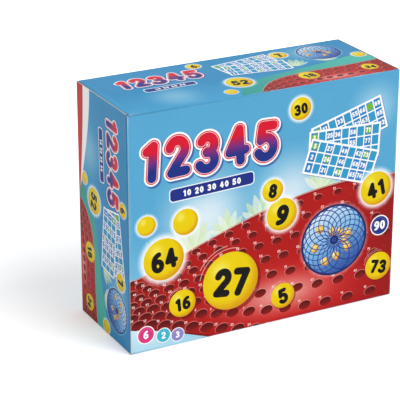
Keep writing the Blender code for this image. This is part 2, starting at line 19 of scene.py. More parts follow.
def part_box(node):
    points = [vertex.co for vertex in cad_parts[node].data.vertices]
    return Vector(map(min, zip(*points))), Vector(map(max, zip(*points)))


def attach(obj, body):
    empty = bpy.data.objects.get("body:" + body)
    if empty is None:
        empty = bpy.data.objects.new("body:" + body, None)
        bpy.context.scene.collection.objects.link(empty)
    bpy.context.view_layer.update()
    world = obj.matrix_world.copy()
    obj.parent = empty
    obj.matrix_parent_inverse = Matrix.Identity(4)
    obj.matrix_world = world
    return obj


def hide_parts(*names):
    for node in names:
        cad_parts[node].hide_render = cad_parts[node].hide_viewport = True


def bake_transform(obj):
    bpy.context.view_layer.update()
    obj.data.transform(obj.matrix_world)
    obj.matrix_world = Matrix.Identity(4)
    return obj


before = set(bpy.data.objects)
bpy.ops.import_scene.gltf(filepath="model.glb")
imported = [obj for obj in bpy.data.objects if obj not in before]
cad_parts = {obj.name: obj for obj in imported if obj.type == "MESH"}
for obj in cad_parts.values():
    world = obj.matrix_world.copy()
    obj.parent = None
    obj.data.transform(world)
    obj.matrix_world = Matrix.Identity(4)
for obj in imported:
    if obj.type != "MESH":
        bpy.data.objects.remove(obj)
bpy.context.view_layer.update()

MM = 0.001
INK = "ink"
LEFT, RIGHT = Vector((-1, 0, 0)), Vector((1, 0, 0))
FRONT, BACK, UP = Vector((0, -1, 0)), Vector((0, 1, 0)), Vector((0, 0, 1))


# ---- shapes of the print ----

Layer = namedtuple("Layer", "loops colour cover spots")


def inks(codes):
    """Colours, from six digits each."""
    return [np.array(list(bytes.fromhex(code))) / 255 for code in codes.split()]


def ink(code):
    """One colour."""
    return inks(code)[0]


WHITE, BLACK, SKY_HIGH, SKY_LOW, NAVY, PURPLE, CRIMSON = inks("ffffff 060505 57a8d2 a9d8ec 1d2f83 7c2a7d d9152f")
RED, DEEP_RED, PALE_RED, FIELD_RED, FIELD_GLARE = inks("c9191d 74090c f0b3a8 ae1413 efbab2")
YELLOW, ORANGE, CREAM, TEAL, CARD_BLUE, GREEN = inks("eacd00 d7970a f7ec74 2c9c95 2e83c4 74b82f")
MAGENTA, AQUA, LAVENDER, LEAF, PALE_LEAF = inks("d8347c 38b6cc 8d86c6 dcefb0 f3f8dc")


def layer(loops, colour, cover=1.0, spots=()):
    """One shape of a print: its outlines, its colour, how much it covers, and the points that carry its shading."""
    return Layer([np.asarray(loop, float) for loop in loops], colour, cover, np.reshape(spots, (-1, 2)))


def spun(angle):
    """The turn by an angle in degrees, as a matrix."""
    c, s = math.cos(math.radians(angle)), math.sin(math.radians(angle))
    return np.array(((c, -s), (s, c)))


def placed(layers, centre=(0, 0), angle=0.0, size=1.0):
    """The same shapes resized, turned and moved."""
    matrix = spun(angle) * size
    back = np.linalg.inv(matrix)

    def carried(value):
        return (lambda points: value((points - centre) @ back.T)) if callable(value) else value

    return [Layer([loop @ matrix.T + centre for loop in one.loops], carried(one.colour), carried(one.cover),
                  one.spots @ matrix.T + centre) for one in layers]


def sweep(centre, radii, start, end, steps):
    """Points along a part of an ellipse."""
    angles = np.radians(np.linspace(start, end, steps))
    return np.column_stack((np.cos(angles), np.sin(angles))) * radii + centre


def oval(centre, radii, steps, angle=0.0):
    """An ellipse's outline."""
    angles = np.linspace(0, 2 * math.pi, steps, endpoint=False)
    return np.column_stack((np.cos(angles), np.sin(angles))) * radii @ spun(angle).T + centre


def bow(start, pull_start, pull_end, end, steps):
    """Points along a curve that leaves and arrives towards its two pulls."""
    t = np.linspace(0, 1, steps)[:, None]
    weights = ((1 - t) ** 3, 3 * t * (1 - t) ** 2, 3 * t * t * (1 - t), t ** 3)
    return sum(weight * np.array(point) for weight, point in zip(weights, (start, pull_start, pull_end, end)))


def tablet(low, high, corner, steps=5):
    """A rectangle's outline with round corners."""
    left, bottom, right, top = *(np.array(low) + corner), *(np.array(high) - corner)
    spots = enumerate(((right, bottom), (right, top), (left, top), (left, bottom)))
    return np.concatenate([sweep(spot, corner, 90 * place - 90, 90 * place, steps) for place, spot in spots])


FULL_RING = 0.97         # the share of a ring's reach from which half a stroke leaves no hole in it


def stroke(points, half, closed=False, cap_steps=5):
    """The outlines of a round-ended stroke along a line of points, or of a ring round a closed one."""
    points = np.asarray(points, float)
    along = np.roll(points, -1, 0) - np.roll(points, 1, 0) if closed else np.gradient(points, axis=0)
    along = along / np.linalg.norm(along, axis=1)[:, None]
    side = along[:, ::-1] * (-half, half)
    if closed:
        reach = np.ptp(points, axis=0).min() / 2
        return [points - side] + ([(points + side)[::-1]] if half < FULL_RING * reach else [])

    def cap(centre, towards):
        start = math.degrees(math.atan2(*towards[::-1]))
        return sweep(centre, half, start, start + 180, cap_steps + 2)[1:-1]

    return [np.concatenate((points - side, cap(points[-1], -side[-1]), (points + side)[::-1],
                            cap(points[0], side[0])))]


def covered(loops, points):
    """Says which points lie inside outlines, where outlines may overlap and holes run the other way."""
    rounds = np.zeros(len(points), int)
    for loop in loops:
        near = np.flatnonzero(((points > loop.min(0)) & (points < loop.max(0))).all(1))
        if len(near):
            x, y = points[near].T
            (ax, ay), (bx, by) = loop.T[:, :, None], np.roll(loop, -1, 0).T[:, :, None]
            side = (bx - ax) * (y - ay) - (x - ax) * (by - ay)
            rounds[near] += ((ay <= y) & (by > y) & (side > 0)).sum(0)
            rounds[near] -= ((ay > y) & (by <= y) & (side < 0)).sum(0)
    return rounds != 0


def eased(values, low, high):
    """A soft step from 0 at the low value to 1 at the high one."""
    t = np.clip((values - low) / (high - low), 0, 1)
    return t * t * (3 - 2 * t)


def mixed(start, end, share):
    """A colour, or colours, between two colours."""
    return start + (end - start) * np.asarray(share)[..., None]


def fade(start, end, colours):
    """A colour that changes evenly along a line through evenly spaced colours."""
    start, run, table = np.array(start, float), np.array(end, float) - start, np.array(colours)

    def colour(points):
        share = np.clip((points - start) @ run / (run @ run), 0, 1) * (len(colours) - 1)
        step = np.minimum(share.astype(int), len(colours) - 2)
        return table[step] + (table[step + 1] - table[step]) * (share - step)[:, None]

    return colour


def away_from(points, spot):
    """How far points lie from a spot."""
    return np.hypot(*(points - spot).T)


def grid_of(low, high, counts):
    """Evenly spaced points, row by row."""
    return np.stack(np.meshgrid(*(np.linspace(*span) for span in zip(low, high, counts))), -1).reshape(-1, 2)


# ---- numerals ----

FIGURE_GAP = 0.07
FINEST = 30


@lru_cache(maxsize=None)
def figure_lines(character, fine):
    """A plain numeral's width and strokes, one unit high. Each stroke has its points, and whether it closes."""
    def arc(centre, radii, start, end):
        return sweep(centre, radii, start, end, fine), False

    def ring(centre, radii):
        return sweep(centre, radii, 0, 360, fine + 1)[:-1], True

    def line(*points):
        return points, False

    bend = bow((0, 0.30), (0, 0.72), (0.16, 0.96), (0.44, 1), fine)
    return {
        "0": (0.50, [ring((0.25, 0.5), (0.25, 0.5))]),
        "1": (0.32, [line((0.24, 0), (0.24, 1)), line((0.24, 1), (0.04, 0.84))]),
        "2": (0.50, [line(*arc((0.25, 0.72), (0.25, 0.28), 165, -35)[0], (0.22, 0.27), (0.02, 0)),
                     line((0.02, 0), (0.5, 0))]),
        "3": (0.50, [arc((0.24, 0.755), (0.23, 0.245), 150, -90), arc((0.23, 0.265), (0.27, 0.265), 90, -150)]),
        "4": (0.54, [line((0.36, 0), (0.36, 1)), line((0.36, 1), (0, 0.32)), line((0, 0.32), (0.54, 0.32))]),
        "5": (0.50, [line((0.08, 1), (0.46, 1)), line((0.08, 1), (0.04, 0.56)),
                     arc((0.22, 0.31), (0.28, 0.31), 130, -148)]),
        "6": (0.50, [ring((0.25, 0.29), (0.25, 0.29)), (bend, False)]),
        "7": (0.48, [line((0, 1), (0.48, 1)), line((0.48, 1), (0.17, 0))]),
        "8": (0.50, [ring((0.25, 0.765), (0.22, 0.235)), ring((0.25, 0.265), (0.25, 0.265))]),
        "9": (0.50, [ring((0.25, 0.71), (0.25, 0.29)), ((0.5, 1) - bend, False)]),
        " ": (0.10, []),
    }[character]


def split_line(points, longest):
    """The same line of points, with none of its parts longer than a length."""
    runs = [np.linspace(a, b, math.ceil(np.linalg.norm(b - a) / longest), endpoint=False)
            for a, b in zip(points, points[1:])]
    return np.concatenate(runs + [points[-1:]])


def numerals(text, height, half, fine, pitch=None, longest=2.0):
    """The outlines of plain numerals round the origin. Half is half a stroke, in heights."""
    gap = 2 * (pitch or half)
    loops, place = [], 0.0
    for character in text:
        width, strokes = figure_lines(character, fine)
        for points, closed in strokes:
            line = np.asarray(points, float) + (place, 0)
            loops += stroke(line if closed else split_line(line, longest), half, closed, max(3, fine // 3))
        place += width + gap + FIGURE_GAP
    middle = ((place - gap - FIGURE_GAP) / 2, 0.5)
    return [(loop - middle) * height for loop in loops]


# ---- motifs of the print ----

GLOW_SHARES, GLOW_STEPS = (0.2, 0.4, 0.6, 0.75, 0.88), 44
BALL_SHARES, LARGE_BALL = (0.25, 0.45, 0.62, 0.76, 0.88, 0.95), 16
LIT_SIDE, SHINE_SPOT = (-0.16, 0.18), (-0.38, 0.42)
TITLE_GAP, TITLE_HALF, TITLE_SPLIT = 0.50, (0.4, 0.62), 0.1
TITLE_SWAY = ((-3.5, 0.00), (2.5, 0.05), (-2.0, -0.02), (3.0, 0.04), (-2.5, 0.00))
RING_REACH, RING_HALF, HOOP_HALF = 0.49, 0.014, 0.03
COLUMNS, ROWS, MARKED = 9, 3, (4, 11, 18, 25)
LEAVES, LEAF_SPREAD = 7, 120
FIELD_GRID, GLARE_SPOT, GLARE_REACH = 5.5, (0.56, 0.34), (1.25, 0.85)


def shading_rings(centre, radius, shares, steps, turn):
    """Points in rings round a centre, and the centre."""
    rings = [oval(centre, radius * share, steps, turn * place) for place, share in enumerate(shares)]
    return np.concatenate(rings + [[centre]])


def glow(centre, radius, cover, core=0.0):
    """A soft round light."""
    def strength(points):
        return cover * (1 - eased(away_from(points, centre) / radius, core, 1))

    shares = (core * 0.9, core, (2 * core + 1) / 3, (core + 2) / 3) if core else GLOW_SHARES
    return [layer([oval(centre, radius, GLOW_STEPS)], WHITE, strength, shading_rings(centre, radius, shares, 32, 5))]


def ball(text, radius, on_sky=True, angle=0.0):
    """A plain yellow ball, with or without a number."""
    def shade(points):
        colour = mixed(YELLOW, ORANGE, eased(away_from(points, LIT_SIDE), 0.80, 1.22) * 0.9)
        return mixed(colour, CREAM, 0.75 * (1 - eased(away_from(points, SHINE_SPOT), 0.05, 0.55)))

    if on_sky:
        layers = glow((0, 0), 1.36, 0.95, 0.72)
    else:
        layers = [layer([oval((0.07, -0.09), 1.04, 36)], DEEP_RED, 0.55)]
        for reach, start, end in ((1.13, 78, 168), (1.24, 96, 152)):
            layers.append(layer(stroke(sweep((0, 0), reach, start, end, 16), 0.016), PALE_RED, 0.8))
    large = radius > LARGE_BALL
    rings = shading_rings((0, 0), 1, BALL_SHARES, 30, 6)
    spots = np.concatenate([rings[:-1], oval(SHINE_SPOT, 0.15, 12), oval(SHINE_SPOT, 0.3, 12), rings[-1:]])
    layers.append(layer([oval((0, 0), 1, 68 if large else 44)], shade, 1, spots))
    if text:
        marks = numerals(text, 0.74 if len(text) > 1 else 0.96, 0.17, 24 if large else 14)
        layers += placed([layer(marks, BLACK)], (0.03, -0.06), angle)
    return placed(layers, size=radius)


def heading(text, height):
    """Large numerals, from red at the top to navy at the foot, in white, red and pink lines."""
    wide, high = TITLE_HALF
    body = fade((0, high), (0, -high), (CRIMSON, CRIMSON, PURPLE, NAVY, NAVY))
    rows = [(x, y) for x in np.linspace(-wide, wide, 9) for y in np.linspace(-high, high, 17)]
    steps = (((0.045, -0.06), 0.275, NAVY, 0.5), ((0, 0), 0.262, WHITE, 1), ((0, 0), 0.205, CRIMSON, 1),
             ((0, 0), 0.172, ink("f7c9cf"), 1), ((0, 0), 0.150, body, 1))
    glyphs, place = [], 0.0
    for character, (angle, rise) in zip(text, TITLE_SWAY):
        width = figure_lines(character, FINEST)[0]
        glyphs.append((character, place + width / 2, angle, rise))
        place += width + TITLE_GAP
    middle = (place - TITLE_GAP) / 2
    layers = []
    for shift, half, colour, cover in steps:
        spots = rows if callable(colour) else ()
        for character, x, angle, rise in glyphs:
            mark = layer(numerals(character, 1, half, FINEST, longest=TITLE_SPLIT), colour, cover, spots)
            layers += placed([mark], (x - middle + shift[0], rise + shift[1]), angle)
    return placed(layers, size=height)


def banner(text, width, height):
    """A navy band with a row of small white numerals."""
    x, y, edge = width / 2, height / 2, 1.2
    return [layer([tablet((-x - edge, -y - edge), (x + edge, y + edge), y * 0.7)], WHITE, 0.9),
            layer([tablet((-x, -y), (x, y), y * 0.55)], NAVY),
            layer(numerals(text, height * 0.42, 0.16, 8, 0.22), WHITE)]


def badge(text, radius, colour):
    """A small round mark with a number."""
    rounds = ((0, 1.12, 28, WHITE), (0, 1, 28, colour), (0, 0.86, 24, mixed(colour, WHITE, 0.18)),
              (-0.04, 0.8, 24, colour))
    return [layer([oval((0, drop * radius), radius * share, steps)], tone) for drop, share, steps, tone in rounds] + [
        layer(numerals(text, radius * 0.8, 0.15, 8), WHITE)]


def rosette(radius, lines=20, balls=9):
    """A round lattice of crossing rings, with plain balls behind it."""
    layers = glow((0, 0), 1.12, 0.8, 0.8)
    inner = fade((-0.5, 0.8), (0.4, -0.8), inks("d7ecf8 7db9e2 2b55a0"))
    spots = shading_rings((0, 0), 1, (0.3, 0.6, 0.85), 20, 0)[:-1]
    layers.append(layer([oval((0, 0), 1, 48)], inner, 1, spots))
    golds = (((0.02, -0.03), 0.125, 20, "c77d08"), ((0, 0), 0.115, 20, "f5cf52"), ((-0.03, 0.035), 0.045, 12, "fbeeb0"))
    one_ball = [layer([oval(spot, size, steps)], ink(tone)) for spot, size, steps, tone in golds]
    for place in range(balls):
        away, turn = 0.28 + 0.34 * ((place * 5) % 3) / 2, 2.4 * place
        layers += placed(one_ball, (away * math.cos(turn), away * math.sin(turn)))
    for place in range(lines):
        turn = 2 * math.pi * place / lines
        ring = oval((RING_REACH * math.cos(turn), RING_REACH * math.sin(turn)), RING_REACH, 40)
        layers.append(layer(stroke(ring, RING_HALF, True), NAVY if place % 2 else ink("3c56a8"), 0.94))
    for reach, steps in ((0.985, 56), (0.10, 16)):
        layers.append(layer(stroke(oval((0, 0), reach, steps), HOOP_HALF, True), ink("1b2560")))
    return placed(layers, size=radius)


def ticket(width, first, marked=MARKED, aspect=0.44, ground=CARD_BLUE):
    """A number card of nine columns and three rows, with some cells marked."""
    edge, half = width * 0.018, np.array((width, width * aspect)) / 2
    cell, low = (2 * half - 2 * edge) / (COLUMNS, ROWS), edge - half
    layers = [layer([tablet(shift - half, shift + half, 1)], colour, cover)
              for shift, colour, cover in ((np.array((0.6, -0.9)), NAVY, 0.35), (np.zeros(2), WHITE, 1.0))]
    for place in range(COLUMNS * ROWS):
        row, column = divmod(place, COLUMNS)
        corner = low + cell * (column, row)
        box = np.array(((0, 0), (1, 0), (1, 1), (0, 1))) * (cell - 0.9 * edge) + corner + 0.45 * edge
        shown = (place * 4 + first) % 9 > 3
        layers.append(layer([box], ground if shown else mixed(ground, AQUA, 0.45)))
        if place in marked:
            layers.append(layer([oval(corner + cell / 2, cell.min() * 0.42, 14)], GREEN))
        if shown:
            number = column * 10 + (first + row * ROWS + column) % 9 + 1
            marks = numerals(str(number), cell[1] * 0.36, 0.15, 6)
            layers.append(layer([loop + corner + cell / 2 for loop in marks], WHITE))
    return layers


def tuft(size):
    """Pale leaves that fan out from one point."""
    leaf = np.concatenate((bow((0, 0), (0.3, 0.16), (0.7, 0.20), (1, 0), 9),
                           bow((1, 0), (0.7, -0.20), (0.3, -0.16), (0, 0), 9)[1:-1]))
    layers = []
    for place in range(LEAVES):
        share = place / (LEAVES - 1) - 0.5
        one = layer([leaf * (1 - 0.25 * abs(share) * 2)], LEAF if place % 2 else PALE_LEAF, 0.62)
        layers += placed([one], angle=90 + LEAF_SPREAD * share)
    return placed(layers, size=size)


def dotted_field(top, bottom, rows, columns, dot=(6.6, 4.3), numbers=True):
    """A red field between two curves, with rows of dark dots that follow them, each with its number."""
    outline = np.concatenate((bottom, top[::-1]))
    low, high = outline.min(0), outline.max(0)

    def shade(points):
        share = (points - low) / (high - low)
        colour = mixed(DEEP_RED, FIELD_RED, eased(share[:, 0] + 0.6 * share[:, 1], 0.0, 0.62))
        colour = mixed(colour, DEEP_RED, 0.55 * eased(share[:, 0], 0.72, 1.05))
        away = (((share - GLARE_SPOT) / GLARE_REACH) ** 2).sum(1)
        for tone, peak, reach in ((FIELD_RED * 1.18, 0.8, 0.050), (FIELD_GLARE, 0.80, 0.018)):
            colour = mixed(colour, tone, peak * np.exp(-away / reach))
        return colour

    grid = grid_of(low, high, ((high - low) / FIELD_GRID).astype(int))
    layers = [layer([outline], shade, 1, grid[covered([outline], grid)]),
              layer(stroke(top - (0, 0.9), 0.5), ink("f6c4b8"), 0.75),
              layer(stroke(top - (0, 2.4), 0.9), DEEP_RED, 0.6)]

    def along(curve, share):
        step, rest = int(share), share % 1
        return curve[step] * (1 - rest) + curve[min(step + 1, len(curve) - 1)] * rest

    for place in range(rows * columns):
        row, column = divmod(place, columns)
        depth = ((row + 0.75) / (rows + 0.35)) ** 1.15
        share = (column + 0.5 + 0.5 * (row % 2)) / (columns + 0.5) * (len(top) - 1)
        upper, lower = along(top, share), along(bottom, share)
        centre = upper + (lower - upper) * depth
        radii = np.array(dot) * (0.72 + 0.55 * depth)
        well = fade(centre - (0, 4), centre + (0, 4), inks("8e1516 4c0608"))
        rings = (((-0.4, 0.5), 0.75, PALE_RED, 0.55), ((-0.1, 0.1), 0.3, ink("9c1013"), 1.0), ((0, 0), 0, well, 1.0))
        for shift, more, colour, cover in rings:
            layers.append(layer([oval(centre + shift, radii + more, 20, 12)], colour, cover))
        if numbers:
            spot = centre + np.array((-radii[0] * 0.95, radii[1] + 1.6))
            marks = numerals(str(place % 90 + 1), 2.5, 0.13, 5)
            layers.append(layer([loop + spot for loop in marks], ink("ffe9e2"), 0.9))
    return layers


# ---- sheets of board ----

CUT_SLACK = 0.01          # millimetres within which the cutting lines of a print are one line
GRID, GRID_EDGE = 9.0, 0.3
FOLD_SWEEP, FOLD_FACETS, HOLDING_LINE = math.radians(44.6), 4, 0.7
SHEET, FOLD = 1.2, 1.6
BLEED = 5.0               # how far prints and cutting lines run past a sheet's edge
MAP_SIZES = np.array(((0.98, 0.86), (0.98, 0.08), (0.98, 0.006)))
MAP_CORNERS = np.array(((0.01, 0.13), (0.01, 0.03), (0.01, 0.01)))


def cut_sheet(outline, loops, lines=(), spots=(), holes=()):
    """Cuts a flat sheet along all its lines. Returns its points and triangles."""
    points, edges = [], []
    for run, closed in [(loop, True) for loop in (outline, *loops, *holes)] + [(line, False) for line in lines]:
        first, count = len(points), len(run)
        points.extend(map(Vector, run.tolist()))
        edges.extend((first + step, first + (step + 1) % count) for step in range(count if closed else count - 1))
    points.extend(map(Vector, np.reshape(spots, (-1, 2)).tolist()))
    found = delaunay_2d_cdt(points, edges, [], 0, CUT_SLACK, False)
    points, triangles = np.array([point[:] for point in found[0]]), np.array(found[2])
    triangles = triangles[covered([outline] + [hole[::-1] for hole in holes], points[triangles].mean(1))]
    used, triangles = np.unique(triangles, return_inverse=True)
    return points[used], triangles.reshape(-1, 3)


def painted(layers, points, triangles, paper):
    """The colour of each triangle's corners, with the shapes laid on the paper in order."""
    corners, colours = points[triangles], np.tile(paper, (len(triangles), 3, 1)).astype(float)
    middles = corners.mean(1)
    for one in layers:
        hit = np.flatnonzero(covered(one.loops, middles))
        if len(hit):
            at = corners[hit].reshape(-1, 2)
            colour = one.colour(at) if callable(one.colour) else one.colour
            cover = one.cover(at)[:, None] if callable(one.cover) else one.cover
            under = colours[hit].reshape(-1, 3)
            colours[hit] = (under + (colour - under) * cover).reshape(-1, 3, 3)
    return colours.reshape(-1, 3)


def linear(colours):
    """Colours as light, from colours as they are written."""
    return np.where(colours <= 0.04045, colours / 12.92, ((np.maximum(colours, 0.04045) + 0.055) / 1.055) ** 2.4)


def rim_of(triangles):
    """The edges, as pairs of points, that only one triangle has, in its direction."""
    pairs = np.concatenate([triangles[:, [0, 1]], triangles[:, [1, 2]], triangles[:, [2, 0]]]).astype(np.int64)
    more = triangles.max() + 1
    return pairs[~np.isin(pairs @ (more, 1), pairs @ (1, more))]


def chain(pairs):
    """Pairs of points, each from a point to the next one, as one closed loop."""
    following = dict(pairs.tolist())
    first, after = following.popitem()
    loop = [first]
    while after != first:
        loop.append(after)
        after = following.pop(after)
    return loop


def ring_faces(levels, count, corners=((0, 0), (0, 1), (1, 1), (1, 0)), closed=False):
    """Faces between rings of points, each from a ring to the next."""
    return [[(level + up) % levels * count + (place + along) % count for up, along in corners]
            for level in range(levels if closed else levels - 1) for place in range(count)]


def bends(length, folds):
    """The folds at the ends of a length: which way each lies, its radius and where it starts."""
    return [(sign, radius, end - sign * radius) for end, sign, radius in zip((0, length), (-1, 1), folds) if radius]


def bent(places, length, folds, depth):
    """Where places along a sheet land at a depth under its outer face: how far along, and how far down."""
    along, drop = places.copy(), np.full_like(places, depth)
    for sign, radius, limit in bends(length, folds):
        turn = sign * (places - limit) / radius
        on = turn > 0
        along[on] = limit + sign * (radius - depth) * np.sin(turn[on])
        drop[on] = radius - (radius - depth) * np.cos(turn[on])
    return along, drop


def ends_of(length, folds):
    """Where a flat sheet starts and ends, before its folds are bent."""
    start, end = (radius - radius * FOLD_SWEEP for radius in folds)
    return start, length - end


class Board:
    """A place for a sheet of board: a corner of its outer face, the directions of its two sides, and its folds."""

    def __init__(self, corner, right, up, size, folds=(0, 0, 0, 0)):
        self.corner, self.right, self.up = (np.array(v, float) for v in (corner, right, up))
        self.out = np.cross(self.right, self.up)
        self.size, self.folds = size, (folds[:2], folds[2:])

    def outline(self):
        """The outline of the whole flat sheet."""
        (left, right), (low, high) = map(ends_of, self.size, self.folds)
        return np.array(((left, low), (right, low), (right, high), (left, high)))

    def fold_lines(self):
        """The lines across the flat sheet along which its folds are bent."""
        lines = []
        for axis, (length, folds) in enumerate(zip(self.size, self.folds)):
            for sign, radius, limit in bends(length, folds):
                turns = [limit + sign * radius * FOLD_SWEEP * step / FOLD_FACETS for step in range(FOLD_FACETS)]
                for place in turns + [limit - sign * HOLDING_LINE]:
                    line = np.full((2, 2), float(place))
                    line[:, 1 - axis] = (-BLEED, self.size[1 - axis] + BLEED)
                    lines.append(line)
        return lines

    def rolls(self, triangles):
        """Says which triangles of the flat sheet lie in or beside a bent fold."""
        near = np.zeros(len(triangles), bool)
        for places, length, folds in zip(triangles.mean(1).T, self.size, self.folds):
            for sign, _, limit in bends(length, folds):
                near |= sign * (places - limit) > -HOLDING_LINE
        return near

    def at(self, points, depth):
        """Points of the flat sheet, at a depth, in the carton."""
        (across, drop_across), (upward, drop_upward) = (
            bent(places, *rest, depth) for places, *rest in zip(points.T, self.size, self.folds))
        drop = drop_across + drop_upward - depth
        return (self.corner * 1000 + np.outer(across, self.right) + np.outer(upward, self.up)
                - np.outer(drop, self.out)) * MM


def new_object(name, data):
    """An object of the scene."""
    thing = bpy.data.objects.new(name, data)
    bpy.context.scene.collection.objects.link(thing)
    return thing


def new_piece(name, points, faces, finishes, slots=None, inks=None):
    """A mesh object of its points and faces, with each face's finish and the ink of each face's corners."""
    mesh = bpy.data.meshes.new(name)
    mesh.from_pydata([tuple(point) for point in points], [], faces)
    for finish in finishes:
        mesh.materials.append(finish)
    if slots:
        mesh.polygons.foreach_set("material_index", slots)
    if inks is not None:
        filled = np.concatenate((linear(inks), np.ones((len(inks), 1))), axis=1)
        attribute = mesh.color_attributes.new(INK, "FLOAT_COLOR", "CORNER")
        attribute.data.foreach_set("color", filled.ravel().astype(np.float32))
    return new_object(name, mesh)


def belongs(piece, body, nodes):
    """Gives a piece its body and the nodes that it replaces."""
    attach(piece, body)
    if nodes:
        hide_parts(*nodes)
    return piece


def board_piece(name, body, node, board, layers, face, outline=None, paper=WHITE, thickness=SHEET):
    """A sheet of board with its print outside, its plain face inside and its cut edge."""
    outline = board.outline() if outline is None else np.asarray(outline, float)
    low, high = outline.min(0), outline.max(0)
    loops = [loop for one in layers for loop in one.loops if (loop.max(0) > low).all() and (loop.min(0) < high).all()]
    counts = np.maximum(((high - low) / GRID).astype(int), 2) + 1
    spots = np.concatenate([grid_of(low, high, counts)] + [one.spots for one in layers])
    spots = spots[((spots > low + GRID_EDGE) & (spots < high - GRID_EDGE)).all(1)]
    lines = board.fold_lines()
    points, triangles = cut_sheet(outline, loops, lines, spots)
    rim = rim_of(triangles)
    inner, inner_triangles = cut_sheet(points[chain(rim)], [], lines)
    tree = KDTree(len(inner))
    for place, point in enumerate(inner.tolist()):
        tree.insert((*point, 0), place)
    tree.balance()

    count = len(points)
    below = {a: tree.find((*points[a], 0))[1] + count for a in rim[:, 0].tolist()}
    faces = triangles.tolist() + (inner_triangles[:, ::-1] + count).tolist()
    faces += [[b, a, below[a], below[b]] for a, b in rim.tolist()]
    slots = [0] * len(triangles) + [1] * len(inner_triangles) + [2] * len(rim)
    bare = np.tile(paper, (3 * len(inner_triangles) + 4 * len(rim), 1))
    inks = np.concatenate((painted(layers, points, triangles, paper), bare))
    piece = new_piece(name, np.concatenate((board.at(points, 0.0), board.at(inner, thickness))), faces,
                      [face, BARE_BOARD, CUT_BOARD], slots, inks)
    mesh = piece.data
    mesh.polygons.foreach_set("use_smooth", np.concatenate((
        board.rolls(points[triangles]), board.rolls(inner[inner_triangles]), np.zeros(len(rim), bool))))
    unrolled = (np.concatenate((points, inner)) - low) / (high - low)
    owner = np.repeat(slots, [len(face) for face in faces])
    corners = unrolled[[loop.vertex_index for loop in mesh.loops]]
    uv = corners * MAP_SIZES[owner] + MAP_CORNERS[owner]
    mesh.uv_layers.new(name="OFBake").data.foreach_set("uv", uv.ravel())
    mesh.validate()
    return belongs(piece, body, [node])


# ---- finishes ----

class Wire:
    """An output of a node. Arithmetic with it adds maths nodes to its tree."""

    def __init__(self, socket):
        self.socket, self.tree = socket, socket.id_data

    def __getitem__(self, key):
        return Wire(self.socket.node.outputs[key])

    def maths(self, operation, *others, kind="ShaderNodeMath"):
        """The result of a maths node."""
        return add(self.tree, kind, (self, *others), operation=operation)

    __add__, __sub__ = partialmethod(maths, "ADD"), partialmethod(maths, "SUBTRACT")
    __mul__, __truediv__ = partialmethod(maths, "MULTIPLY"), partialmethod(maths, "DIVIDE")

    def vectors(self, operation, *others):
        """The result of a vector maths node."""
        return self.maths(operation, *others, kind="ShaderNodeVectorMath")

    def parts(self):
        """A vector's three values."""
        split = add(self.tree, "ShaderNodeSeparateXYZ", (self,))
        return [split[axis] for axis in "XYZ"]

    def ranged(self, low, high, to_low=0.0, to_high=1.0):
        """A value moved from one range to another, and kept inside it."""
        return add(self.tree, "ShaderNodeMapRange", (self, low, high, to_low, to_high))


def give(node, inputs):
    """Gives a node's inputs, by their names or in their order, a value or a wire each."""
    for key, value in (inputs.items() if isinstance(inputs, dict) else enumerate(inputs)):
        named = (socket for socket in node.inputs if socket.enabled and socket.name == key)
        socket = node.inputs[key] if isinstance(key, int) else next(named)
        if isinstance(value, Wire):
            node.id_data.links.new(value.socket, socket)
        else:
            socket.default_value = value


def add(tree, kind, inputs=(), **settings):
    """Adds a node with its settings and inputs. Returns its first output."""
    node = tree.nodes.new(kind)
    for key, value in settings.items():
        setattr(node, key, value)
    give(node, inputs)
    return Wire(node.outputs[0])


def blend(share, first, second, kind="MIX"):
    """A mix of two colours."""
    tree = next(value.tree for value in (share, first, second) if isinstance(value, Wire))
    return add(tree, "ShaderNodeMix", {"Factor": share, 6: first, 7: second}, data_type="RGBA", blend_type=kind)[2]


def object_places(tree):
    """The piece's own coordinates."""
    return add(tree, "ShaderNodeTexCoord")["Object"]


def stretched(places, scale, rotation=(0.0, 0.0, 0.0)):
    """Coordinates scaled and turned."""
    return add(places.tree, "ShaderNodeMapping", {"Vector": places, "Scale": scale, "Rotation": rotation})


def noise(places, scale, detail=3.0, roughness=0.55):
    """A noise pattern's value."""
    inputs = {"Vector": places, "Scale": scale, "Detail": detail, "Roughness": roughness}
    return add(places.tree, "ShaderNodeTexNoise", inputs)


def new_group(name, kind, ways_in, ways_out):
    """An empty node group with named sockets. Returns the group and its inputs."""
    tree = bpy.data.node_groups.new(name, kind)
    for way, sockets in (("INPUT", ways_in), ("OUTPUT", ways_out)):
        for label, given in sockets.items():
            sort = given if isinstance(given, str) else "Vector" if isinstance(given, tuple) else "Float"
            socket = tree.interface.new_socket(label, in_out=way, socket_type=f"NodeSocket{sort}")
            if sort is not given:
                socket.default_value = given
    return tree, Wire(tree.nodes.new("NodeGroupInput").outputs[0])


def effect(name, ways_in, ways_out):
    """An empty shader group, from its inputs with their values and the names of what it puts out."""
    return new_group(name, "ShaderNodeTree", ways_in, dict.fromkeys(ways_out, "Float"))


def put_out(tree, *values):
    """Puts out a group's values."""
    give(tree.nodes.new("NodeGroupOutput"), values)
    return tree


CARTON_BOX = (0.165, 0.0635, 0.136), (0.0, 0.0, 0.136)      # half its size, and its middle
CARD_BOX = (0.105, -1.0, 0.070), (0.0, 0.0, 0.0715)


